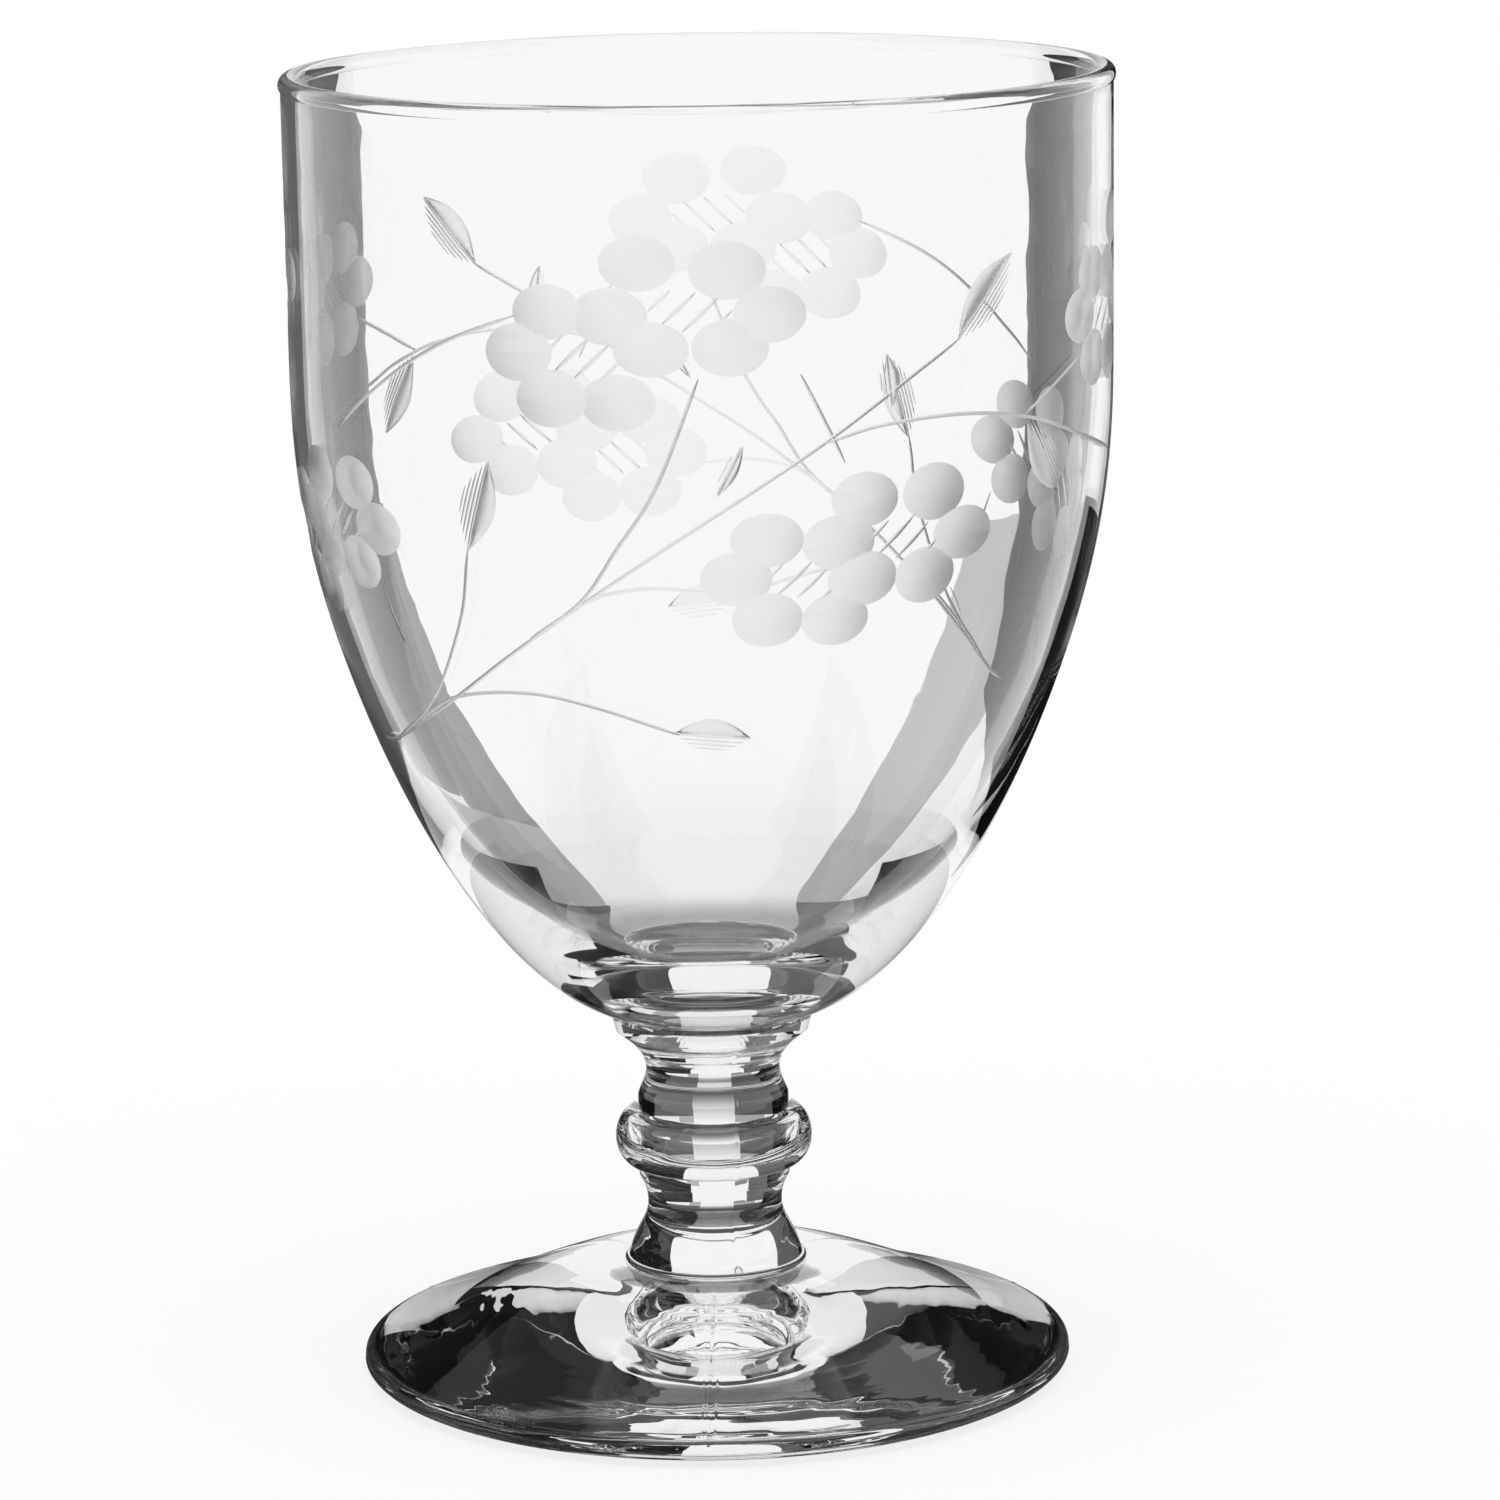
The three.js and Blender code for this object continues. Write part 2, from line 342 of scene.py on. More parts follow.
def make_ground_glass():
    """Wheel-ground glass: rough to light, with fine level scratches from the stone."""
    material, nodes, links, glass = glass_nodes("ground_glass", GROUND_TINT, GLASS_IOR)
    place = nodes.new("ShaderNodeTexCoord").outputs["Object"]
    along = nodes.new("ShaderNodeMapping")
    along.inputs["Scale"].default_value = SCRATCH_SCALE
    links.new(place, along.inputs["Vector"])
    scratch = noise(nodes, links, along.outputs["Vector"], 1.0, 3.0)
    rough = nodes.new("ShaderNodeMapRange")
    rough.inputs["To Min"].default_value = GROUND_ROUGHNESS[0]
    rough.inputs["To Max"].default_value = GROUND_ROUGHNESS[1]
    links.new(scratch.outputs["Fac"], rough.inputs["Value"])
    links.new(rough.outputs["Result"], glass.inputs["Roughness"])
    bump = nodes.new("ShaderNodeBump")
    bump.inputs["Distance"].default_value = SCRATCH_DEPTH
    links.new(scratch.outputs["Fac"], bump.inputs["Height"])
    links.new(bump.outputs["Normal"], glass.inputs["Normal"])
    return material


ground_glass = make_ground_glass()

# %% [markdown]
# ## The fused joints
# The bowl sits on the stem's disc and the stem on the foot's raised middle. Each pair is one lump
# of glass since it was fused, so the two faces that meet there must not bend light. Their material
# is see-through: light crosses both faces as if they were not there.

# %% The fused joint's material
def make_fused_joint():
    """Material of a hidden seat between two fused pieces: alpha 0 lets light straight through."""
    material, nodes, links, glass = glass_nodes("fused_joint", CLEAR_TINT, GLASS_IOR)
    glass.inputs["Alpha"].default_value = 0.0
    return material


fused_joint = make_fused_joint()
BLOWN = (blown_glass, fused_joint, ground_glass)
PRESSED = (pressed_glass, fused_joint)
print("materials:", sorted({material.name for material in BLOWN + PRESSED}))

# %% [markdown]
# ## The foot
# The foot was pressed: hot glass dropped in a mould and squeezed by a plunger. The top is a
# shallow cone with a raised middle, the underside is very slightly hollow, and only a narrow ring
# touches the table. The underside matters most to the look, because light that enters the cone is
# mirrored there again and again. The mould opened in three, so three fine seams run outwards.

# %% Foot
FOOT_EDGE_TOP = 2.7
FOOT_EDGE_MIDDLE = 1.5
FOOT_EDGE_INSET = 0.8
RING_INSIDE = 31.6
RING_OUTSIDE = 33.2
HOLLOW_DEPTH = 2.9
HUB_RADIUS = 14.8
HUB_CROWN = 0.42
HUB_SEAT_RADIUS = 9.7
STEM_BASE_RADIUS = 8.9
FOOT_SEAMS = (-92.0, 28.0, 148.0)  # degrees round the axis, the first one towards the camera


def outline_normals(points):
    """Unit normals (r, z) of an outline that runs anticlockwise, averaged from its neighbours."""
    step = np.gradient(points, axis=0)
    normal = np.stack([step[:, 1], -step[:, 0]], 1)
    return normal / np.linalg.norm(normal, axis=1)[:, None]


def turned(name, points, seats, seams, seam_rows):
    """Solid of revolution of an outline from axis to axis. A ring between two points at a seat's
    height and within its radius is fused glass, and seam_rows says which points carry seams."""
    angles = turn_angles(seams, points[:, 0].max())
    inner, normals = points[1:-1], outline_normals(points)[1:-1]
    lift = np.zeros((len(inner), len(angles)))
    for seam in seams:
        off = wrap(angles - math.radians(seam))[None] * inner[:, :1] / SEAM_WIDTH
        lift += SEAM_HEIGHT * np.exp(-(off**2)) * seam_rows[1:-1, None]
    radius = inner[:, :1] + lift * normals[:, :1]
    height = inner[:, 1:] + lift * normals[:, 1:]
    shell = np.stack([radius * np.cos(angles), radius * np.sin(angles), height + 0 * radius], -1)
    poles = [[0, 0, points[0, 1]], [0, 0, points[-1, 1]]]
    vertices = np.vstack([shell.reshape(-1, 3), poles])
    count, rows = len(angles), len(inner)
    here, after = np.arange(count), (np.arange(count) + 1) % count
    top = (rows - 1) * count
    low_fan = np.stack([np.full(count, rows * count), after, here], 1).tolist()
    high_fan = np.stack([np.full(count, rows * count + 1), top + here, top + after], 1).tolist()
    faces = low_fan + grid_faces(rows, count).tolist() + high_fan
    ring_slot = []
    for start, end in zip(points[:-1], points[1:]):
        fused = any(
            abs(start[1] - height) < 1e-6
            and abs(end[1] - height) < 1e-6
            and max(start[0], end[0]) < radius + 1e-6
            for height, radius in seats
        )
        ring_slot.append(FUSED if fused else CLEAR)
    slots = np.repeat(ring_slot, count)
    piece = make_mesh(name, vertices, faces, slots, PRESSED)
    piece.data.set_sharp_from_angle(angle=SHARP_ANGLE)
    return piece


def foot_outline():
    """The underside from the axis, the standing ring, the rounded edge, the cone and the crown."""
    shoulder = (HUB_RADIUS, FOOT_HEIGHT - HUB_CROWN)
    cone_start = (FOOT_RADIUS - FOOT_EDGE_INSET, FOOT_EDGE_TOP)
    widest = (FOOT_RADIUS, FOOT_EDGE_MIDDLE)
    edge_reach = FOOT_RADIUS - RING_OUTSIDE
    return outline(
        sweep((0, HOLLOW_DEPTH), LEVEL, (RING_INSIDE, 0), -1, (0.5, 0.28), 40),
        arc((RING_OUTSIDE, FOOT_EDGE_MIDDLE), edge_reach, FOOT_EDGE_MIDDLE, -90, 0, 14),
        sweep(widest, UPRIGHT, cone_start, 165, (0.45, 0.3), 10),
        sweep(cone_start, 165, shoulder, 165.8, (0.35, 0.3), 30),
        sweep(shoulder, 165.8, (HUB_SEAT_RADIUS, FOOT_HEIGHT), LEVEL_INWARDS, (0.4, 0.4), 10),
        (STEM_BASE_RADIUS, FOOT_HEIGHT),
        (0, FOOT_HEIGHT),
    )


def make_foot():
    """The pressed foot, with its fused seat inside the stem's base."""
    points = foot_outline()
    top_side = (outline_normals(points)[:, 1] > 0.2) & (points[:, 0] > HUB_SEAT_RADIUS)
    seats = [(FOOT_HEIGHT, STEM_BASE_RADIUS)]
    foot = turned("pressed_foot", points, seats, FOOT_SEAMS, top_side.astype(float))
    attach(foot, "root")
    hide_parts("foot")
    return foot


foot = make_foot()
print("foot:", len(foot.data.polygons), "faces")

# %% [markdown]
# ## The stem
# The stem was pressed solid in a two-part mould: a lip, a flare, a waist, a round knop between two
# short drums, a second waist, and a disc that carries the bowl. Each swell works as a strong lens,
# which is why the stem shows a white middle between dark flanks.

# %% Stem
LIP_REACH = 0.4
LIP_HEIGHT = 0.7
LOWER_WAIST = FOOT_HEIGHT + 6.2
LOWER_DRUM = LOWER_WAIST + 3.0
KNOP_MIDDLE = LOWER_DRUM + 4.0
KNOP_HALF_HEIGHT = 3.0
UPPER_DRUM = KNOP_MIDDLE + 4.4
UPPER_WAIST = UPPER_DRUM + 2.7
DISC_UNDERSIDE = UPPER_WAIST + 3.1
WAIST_RADIUS = 6.85
DRUM_RADIUS = 7.7
KNOP_RADIUS = 10.05
BOWL_SEAT_RADIUS = 9.2
DISC_EDGE_ROUND = 0.3
DISC_NECK_RADIUS = 8.5
DISC_SHOULDER = (9.9, 1.1)  # radius, and height above the disc's underside
STEM_SEAMS = (-75.0, 105.0)


def stem_outline():
    """From the middle of the base up the outside to the middle of the disc's top."""
    base_top = (STEM_BASE_RADIUS, FOOT_HEIGHT + LIP_HEIGHT)
    lip_middle = (STEM_BASE_RADIUS, FOOT_HEIGHT + LIP_HEIGHT / 2)
    lower_waist, upper_waist = (WAIST_RADIUS, LOWER_WAIST), (WAIST_RADIUS, UPPER_WAIST)
    return outline(
        (0, FOOT_HEIGHT),
        (STEM_BASE_RADIUS, FOOT_HEIGHT),
        arc(lip_middle, LIP_REACH, LIP_HEIGHT / 2, -80, 90, 10),
        sweep(base_top, 105, lower_waist, UPRIGHT, (0.5, 0.3), 20),
        sweep(lower_waist, UPRIGHT, (DRUM_RADIUS, LOWER_DRUM), 62, (0.45, 0.3), 14),
        arc((DRUM_RADIUS, KNOP_MIDDLE), KNOP_RADIUS - DRUM_RADIUS, KNOP_HALF_HEIGHT, -90, 90, 30),
        sweep((DRUM_RADIUS, UPPER_DRUM), 112, upper_waist, UPRIGHT, (0.45, 0.3), 14),
        sweep(upper_waist, UPRIGHT, (DISC_NECK_RADIUS, DISC_UNDERSIDE), 48, (0.4, 0.35), 14),
        (DISC_SHOULDER[0], DISC_UNDERSIDE + DISC_SHOULDER[1]),
        (DISC_RADIUS, BOWL_SEAT - DISC_EDGE_ROUND),
        (DISC_RADIUS - DISC_EDGE_ROUND, BOWL_SEAT),
        (BOWL_SEAT_RADIUS, BOWL_SEAT),
        (0, BOWL_SEAT),
    )


def make_stem():
    """The pressed stem, fused to the foot below and to the bowl above."""
    points = stem_outline()
    side = (points[:, 1] > FOOT_HEIGHT + LIP_HEIGHT) & (points[:, 1] < DISC_UNDERSIDE)
    seats = [(FOOT_HEIGHT, STEM_BASE_RADIUS), (BOWL_SEAT, BOWL_SEAT_RADIUS)]
    stem = turned("pressed_stem", points, seats, STEM_SEAMS, side.astype(float))
    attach(stem, "root")
    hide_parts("stem")
    return stem


stem = make_stem()
print("stem:", len(stem.data.polygons), "faces")

# %% [markdown]
# ## The bowl's wall
# The bowl was blown: a thin wall that grows thicker down to a solid heel, and a rim that a flame
# melted into a round bead. Its outside is two cubic curves joined at the hip. Everything that is
# cut into the wall later needs to know where the wall is, so the outside is also a function: a
# distance round the wall, a height and a depth give a point, and the outline's slope its normal.

# %% Outlines of the bowl
BOWL_HIP = np.array([36.5, BOWL_SEAT + 38.0])
BOWL_BELLY = np.array([41.1, BOWL_SEAT + 68.2])
BOWL_RADIUS = 41.2
BOWL_WALL = 1.55
BOWL_HIP_WALL = 1.7
BOWL_FLOOR = 5.2
BOWL_HEEL = np.array([16.4, BOWL_SEAT + BOWL_FLOOR + 3.6])
BOWL_HEEL_SLOPE = 36.0
BOWL_HIP_SLOPE = 71.7
BEAD_RADIUS = 0.98
BEAD_MIDDLE = np.array([RIM_RADIUS - BEAD_RADIUS, RIM_HEIGHT - BEAD_RADIUS])
WALL_SHARES = (0.408, 0.335)


def bowl_outside(steps=1):
    """From the seat's edge up to the bead, steps times as fine as the plain outline."""
    neck = BEAD_MIDDLE + BEAD_RADIUS * direction(bead_turn(BOWL_RADIUS, -1))
    seat = (BOWL_SEAT_RADIUS, BOWL_SEAT)
    return outline(
        sweep(seat, 11, BOWL_HIP, BOWL_HIP_SLOPE, (0.217, 0.452), 60 * steps),
        sweep(BOWL_HIP, BOWL_HIP_SLOPE, BOWL_BELLY, UPRIGHT, WALL_SHARES, 40 * steps),
        np.linspace(BOWL_BELLY, neck, 20 * steps + 1),
    )


def bead_turn(radius, side):
    """Angle on the bead, in degrees, where a wall of this radius meets it from below."""
    return side * math.degrees(math.acos((radius - BEAD_MIDDLE[0]) / BEAD_RADIUS))


def bowl_inside():
    """From the bead down the inside of the wall, round the heel and over the floor to the axis."""
    hip = BOWL_HIP + BOWL_HIP_WALL * direction(BOWL_HIP_SLOPE + UPRIGHT)
    belly = BOWL_BELLY - (BOWL_WALL, 0)
    neck = BEAD_MIDDLE + BEAD_RADIUS * direction(bead_turn(BOWL_RADIUS - BOWL_WALL, -1))
    floor = (0, BOWL_SEAT + BOWL_FLOOR)
    return outline(
        np.linspace(neck, belly, 15),
        sweep(hip, BOWL_HIP_SLOPE, belly, UPRIGHT, WALL_SHARES, 26)[::-1],
        sweep(BOWL_HEEL, BOWL_HEEL_SLOPE, hip, BOWL_HIP_SLOPE, (0.34, 0.248), 40)[::-1],
        sweep(floor, 3, BOWL_HEEL, BOWL_HEEL_SLOPE, (0.45, 0.4), 24)[::-1],
    )


def bead():
    """The round rim, from the outside of the wall over the top to the inside."""
    start = bead_turn(BOWL_RADIUS, -1)
    end = 360 + bead_turn(BOWL_RADIUS - BOWL_WALL, -1)
    return arc(BEAD_MIDDLE, BEAD_RADIUS, BEAD_RADIUS, start, end, 30)


FINE_WALL = bowl_outside(20)
WALL_ROUND = 2 * math.pi * BOWL_RADIUS  # millimetres once round the wall


def wall_frame(around, height):
    """Angle round the axis, wall radius and the normal's two parts (outwards, upwards) at a place
    given by the distance round the wall from the front and the height."""
    reach = 0.05
    radius = np.interp(height, FINE_WALL[:, 1], FINE_WALL[:, 0])
    above = np.interp(height + reach, FINE_WALL[:, 1], FINE_WALL[:, 0])
    below = np.interp(height - reach, FINE_WALL[:, 1], FINE_WALL[:, 0])
    lean = (above - below) / (2 * reach)
    length = np.sqrt(1 + lean**2)
    return around / BOWL_RADIUS - math.pi / 2, radius, 1 / length, -lean / length


def wall_point(around, height, depth):
    """The wall's point at a place, moved into the glass by a depth along the normal."""
    angle, radius, outwards, upwards = wall_frame(around, height)
    reach = radius - depth * outwards
    return np.stack([reach * np.cos(angle), reach * np.sin(angle), height - depth * upwards], -1)


print(f"the wall is {WALL_ROUND:.0f} mm round and {BOWL_WALL} mm thick")

# %% [markdown]
# ## The cutter's drawing
# The spray is a common one: round-petalled flowers in pairs, pointed leaves, and thin stems that
# wander up to the right. One length of it covers half the wall and is cut twice. Every cut is
# drawn flat, in millimetres round the wall and height above the table, as the cutter would mark it.
# A petal is one touch of a round stone, so each is an oval of the same size lying level. A stem or
# a stamen is one pull of a sharp stone, and a leaf is half ground, half hatched with such pulls.

# %% Flowers, leaves and stems of one length of the spray
SPRAY_LENGTH = WALL_ROUND / 2
PETAL_HALF = (3.6, 2.7)  # half width and half height of a petal
PETAL_DEPTH = 0.26
PETAL_SCATTER = 0.12  # how far the cutter's hand strays from the mark
PETAL_SIZE_SPREAD = (0.96, 1.03)
PETAL_DEPTH_SPREAD = (0.85, 1.1)
HIGH_FLOWERS = [
    (-6.0, 118.3), (2.4, 117.8), (6.5, 113.5), (2.7, 110.3), (-4.7, 110.4), (-8.7, 113.4),
    (-14.8, 113.8), (-17.7, 109.9), (-14.4, 105.5), (-8.0, 105.4),
]
LOW_FLOWERS = [
    (15.8, 95.4), (23.4, 95.5), (27.0, 91.2), (22.9, 87.5), (15.8, 87.8), (13.1, 91.3),
    (6.1, 91.9), (3.0, 88.3), (6.3, 84.1), (13.1, 84.0),
]
HIGH_HEARTS = [(-1.0, 113.8), (-11.2, 109.4)]
LOW_HEARTS = [(20.2, 91.3), (9.7, 87.9)]
SECOND_HIGH_SHIFT = 63.4  # the two pairs come again before the spray's length is full
SECOND_LOW_SHIFT = -63.8
STAMEN_STEPS = (-3.0, -1.0, 0.9, 2.8)  # places of the stamens across a flower's heart
STAMEN_LENGTHS = (2.6, 4.6, 4.2, 3.2)
STAMEN_SLOPE = 43.0
STAMEN_HALF_WIDTH = 0.27
STAMEN_FALL = -0.35  # how much lower each stamen lies for each millimetre across
STAMEN_SCATTER = 0.15
STAMEN_LENGTH_SPREAD = (0.9, 1.1)
STEM_HALF_WIDTH = 0.19
CUT_SLOPE = 0.45  # depth of a pulled line for each millimetre of its half width
RUN_OUT = 2.4  # millimetres over which a pulled line grows to its full width
STEMS = [
    [(-50.5, 68.2), (-44.0, 69.2), (-31.5, 74.2), (-19.0, 81.5), (-0.5, 93.5), (11.5, 101.0),
     (20.0, 106.4), (26.3, 110.0)],
    [(-38.0, 71.6), (-29.5, 75.2), (-20.0, 76.4), (-12.0, 75.3), (-3.2, 72.7)],
    [(-44.0, 69.2), (-36.5, 72.6), (-31.0, 77.0), (-26.4, 83.8), (-24.4, 90.6)],
    [(-0.4, 107.4), (-4.5, 97.3), (-8.5, 91.3), (-12.5, 86.0), (-18.6, 81.9)],
    [(-14.6, 84.4), (-10.5, 86.6), (-5.5, 87.5), (-0.4, 87.2)],
    [(-18.0, 113.3), (-24.5, 111.0), (-29.8, 108.5), (-35.5, 105.2), (-42.5, 100.7)],
    [(11.5, 101.0), (17.5, 102.4), (26.5, 102.7), (35.6, 101.4), (45.5, 98.5), (56.5, 95.5)],
    [(34.8, 101.6), (40.5, 104.2), (46.5, 106.6)],
    [(26.2, 85.8), (27.2, 84.3), (28.1, 82.8)],
    [(9.4, 107.6), (11.4, 103.6), (13.6, 99.2)],
    [(-37.6, 85.6), (-36.9, 83.0), (-35.9, 80.0)],
]
# each leaf: its foot, its tip, its half width, and the side that is hatched (1 left, -1 right)
LEAVES = [
    ((-24.4, 90.4), (-21.3, 99.3), 2.0, 1),
    ((26.0, 109.9), (33.1, 117.5), 2.1, -1),
    ((-3.6, 72.9), (4.8, 72.2), 1.75, -1),
    ((35.4, 101.2), (41.4, 93.4), 2.2, 1),
    ((18.6, 104.0), (18.0, 109.2), 1.1, 1),
    ((1.2, 96.3), (3.8, 101.2), 0.75, 1),
]
LEAF_DEPTH = 0.16
HATCH_GAP = 0.42
HATCH_HALF_WIDTH = 0.15
HATCH_START = 0.12

# %% Cuts as flat shapes with a depth
rng = np.random.default_rng(7)


def petal_cut(centre):
    """A stone's touch: depth falls off with the square of the distance from the oval's middle."""
    middle = np.array(centre) + rng.uniform(-PETAL_SCATTER, PETAL_SCATTER, 2)
    half = np.array(PETAL_HALF) * rng.uniform(*PETAL_SIZE_SPREAD, 2)
    depth = PETAL_DEPTH * rng.uniform(*PETAL_DEPTH_SPREAD)
    return {"kind": "oval", "middle": middle, "half": half, "depth": depth}


def smooth_path(points, spacing):
    """Points close together on a smooth curve through the given ones: a cubic through each four."""
    points = np.array(points, float)
    ends = np.vstack([2 * points[0] - points[1], points, 2 * points[-1] - points[-2]])
    path = [points[:1]]
    for before, start, end, beyond in zip(ends, ends[1:], ends[2:], ends[3:]):
        steps = max(2, int(np.ceil(np.linalg.norm(end - start) / spacing)))
        t = np.linspace(0, 1, steps + 1)[1:, None]
        path.append(
            start
            + (end - before) / 2 * t
            + (before - 2.5 * start + 2 * end - beyond / 2) * t**2
            + (1.5 * (start - end) + (beyond - before) / 2) * t**3
        )
    return np.vstack(path)


def line_cut(points, half_width, spacing=0.8, blunt=0.35):
    """A pull of a sharp stone along a path: widest in the middle, running out at both ends."""
    path = smooth_path(points, spacing)
    run = np.concatenate([[0], np.cumsum(np.linalg.norm(np.diff(path, axis=0), axis=1))])
    share = run / run[-1]
    swell = np.clip(np.minimum(share, 1 - share) * run[-1] / RUN_OUT, 0, 1) ** 0.6
    width = half_width * (blunt + (1 - blunt) * swell)
    return {"kind": "line", "path": path, "width": width}


def leaf_cuts(foot_end, tip, half_width, hatched):
    """A leaf: one half ground hollow, the other hatched with pulls along the leaf."""
    foot_end, tip = np.array(foot_end), np.array(tip)
    length = np.linalg.norm(tip - foot_end)
    along = (tip - foot_end) / length
    across = np.array([-along[1], along[0]]) * hatched
    cuts = [{"kind": "half leaf", "foot": foot_end, "along": along, "across": -across,
             "length": length, "half": half_width, "depth": LEAF_DEPTH}]
    for step in np.arange(HATCH_START, half_width * 0.93, HATCH_GAP):
        reach = math.acos(min(1.0, step / half_width)) / (math.pi / 2) * length / 2 * 0.97
        runs = [length / 2 + end * reach for end in (-1, 0, 1)]
        places = [foot_end + along * run + across * step for run in runs]
        cuts.append(line_cut(places, HATCH_HALF_WIDTH, 1.0))
    return cuts


def stamen_cuts(heart):
    """Short parallel pulls across the middle of a flower."""
    along = direction(STAMEN_SLOPE)
    cuts = []
    for step, length in zip(STAMEN_STEPS, STAMEN_LENGTHS):
        stray = rng.uniform(-STAMEN_SCATTER, STAMEN_SCATTER, 2)
        middle = np.array(heart) + (step, STAMEN_FALL * step) + stray
        half = along * length / 2 * rng.uniform(*STAMEN_LENGTH_SPREAD)
        places = [middle - half, middle + 0.04 * half, middle + half]
        cuts.append(line_cut(places, STAMEN_HALF_WIDTH, 0.8, 0.2))
    return cuts


def shifted(places, shift):
    """Places moved round the wall."""
    return [(around + shift, height) for around, height in places]


def spray_cuts():
    """Every cut of one length of the spray."""
    petals = HIGH_FLOWERS + LOW_FLOWERS
    petals += shifted(HIGH_FLOWERS, SECOND_HIGH_SHIFT) + shifted(LOW_FLOWERS, SECOND_LOW_SHIFT)
    hearts = HIGH_HEARTS + LOW_HEARTS
    hearts += shifted(HIGH_HEARTS, SECOND_HIGH_SHIFT) + shifted(LOW_HEARTS, SECOND_LOW_SHIFT)
    cuts = [petal_cut(place) for place in petals]
    for heart in hearts:
        cuts += stamen_cuts(heart)
    cuts += [line_cut(stem_path, STEM_HALF_WIDTH) for stem_path in STEMS]
    for leaf in LEAVES:
        cuts += leaf_cuts(*leaf)
    return cuts


def cut_outline(cut):
    """Closed loop of points round a cut, and the line along its bottom if it has one."""
    if cut["kind"] == "oval":
        angle = np.linspace(0, 2 * math.pi, 56, endpoint=False)
        loop = cut["middle"] + cut["half"] * np.stack([np.cos(angle), np.sin(angle)], 1)
        return loop, None
    if cut["kind"] == "half leaf":
        share = np.linspace(0, 1, 25)
        spine = cut["foot"] + share[:, None] * cut["length"] * cut["along"]
        bulge = (cut["half"] * np.cos((share - 0.5) * math.pi))[:, None]
        return np.vstack([spine, (spine + bulge * cut["across"])[-2:0:-1]]), None
    path, width = cut["path"], cut["width"][:, None]
    step = np.gradient(path, axis=0)
    side = np.stack([-step[:, 1], step[:, 0]], 1) / np.linalg.norm(step, axis=1)[:, None]
    left, right = path + side * width, path - side * width
    ends = path[[0, -1]] + (path[[0, -1]] - path[[1, -2]]) * 0.3
    return np.vstack([ends[:1], left, ends[1:], right[::-1]]), np.vstack([ends[:1], path, ends[1:]])


def line_distance(points, path, width):
    """For each point, the least distance to a path as a share of the width there."""
    start, end = path[:-1], path[1:]
    run = end - start
    share = ((points[:, None] - start) * run).sum(-1) / (run**2).sum(-1)
    share = np.clip(share, 0, 1)
    gap = np.linalg.norm(points[:, None] - start - share[..., None] * run, axis=-1)
    here = width[:-1] + share * (width[1:] - width[:-1])
    return (gap / here).min(1), width.mean()


def cut_depth(cut, points):
    """Depth of one cut below the wall at each flat place: zero outside its outline."""
    if cut["kind"] == "oval":
        rho = (((points - cut["middle"]) / cut["half"]) ** 2).sum(1)
        return cut["depth"] * np.clip(1 - rho, 0, None)
    if cut["kind"] == "half leaf":
        off = points - cut["foot"]
        share = off @ cut["along"] / cut["length"]
        bulge = cut["half"] * np.cos((np.clip(share, 0, 1) - 0.5) * math.pi)
        across = (off @ cut["across"]) / np.maximum(bulge, 1e-6)
        inside = (share > 0) & (share < 1) & (across > 0) & (across < 1)
        return np.where(inside, cut["depth"] * 4 * across * (1 - across), 0)
    path = cut_outline(cut)[1]
    width = np.concatenate([[1e-3], cut["width"], [1e-3]])
    share, mean_width = line_distance(points, path, width)
    return CUT_SLOPE * mean_width * np.clip(1 - share, 0, None)


one_length = spray_cuts()
print(f"one length of the spray has {len(one_length)} cuts")

# %% [markdown]
# ## Cutting the wall
# Such cuts could be painted on as a rough patch, or carved with booleans. A painted patch has no
# edge to catch light, and hundreds of booleans in a thin wall are slow and leave bad triangles.
# Here the wall between two heights is laid flat, every outline becomes a line that triangles may
# not cross, and then each vertex is sunk by the depth of the deepest cut above it. So the rim of
# every petal is a true edge of the mesh, and its hollow is a true hollow.

# %% All cuts round the wall
CUT_LOW = 64.0  # the wall between these heights is laid flat
CUT_HIGH = 124.5
COLUMN = WALL_ROUND / SIDES
FLAT_START = -22 * COLUMN  # where the flat wall is slit open, between two flowers
FLAT_END = FLAT_START + WALL_ROUND


def moved_cut(cut, shift):
    """The same cut further round the wall."""
    moved = dict(cut)
    for part in ("middle", "foot", "path"):
        if part in cut:
            moved[part] = cut[part] + (shift, 0)
    return moved


def cuts_round_wall():
    """Every cut of both lengths, and again a full turn away where it reaches over the slit."""
    cuts = []
    for cut in one_length:
        for shift in (-WALL_ROUND, -SPRAY_LENGTH, 0, SPRAY_LENGTH, WALL_ROUND):
            moved = moved_cut(cut, shift)
            loop, bottom = cut_outline(moved)
            low, high = loop.min(0), loop.max(0)
            if high[0] > FLAT_START and low[0] < FLAT_END:
                cuts.append((moved, loop, bottom, low, high))
    return cuts


cuts = cuts_round_wall()


def depth_at(points):
    """Depth of the deepest cut at each flat place."""
    depth = np.zeros(len(points))
    for cut, _, _, low, high in cuts:
        near = np.flatnonzero(((points >= low) & (points <= high)).all(1))
        if len(near):
            depth[near] = np.maximum(depth[near], cut_depth(cut, points[near]))
    return depth


# %% The flat wall as triangles
COARSE_GAP = 1.5  # millimetres between points of the plain wall
FINE_GAP = 0.6  # the same inside a cut
FINE_DEPTH = 0.03  # depth from which a cut gets fine points
SLIT_POINTS = 45


def honeycomb(gap):
    """Points of a triangular lattice over the flat wall, kept off its borders."""
    rows = np.arange(CUT_LOW + gap * 0.7, CUT_HIGH - gap * 0.5, gap * 0.866)
    across = np.arange(FLAT_START + gap * 0.6, FLAT_END - gap * 0.4, gap)
    around, height = np.meshgrid(across, rows)
    around = around + gap / 2 * (np.arange(len(rows)) % 2)[:, None] * 0.8
    return np.stack([around.ravel(), height.ravel()], 1)


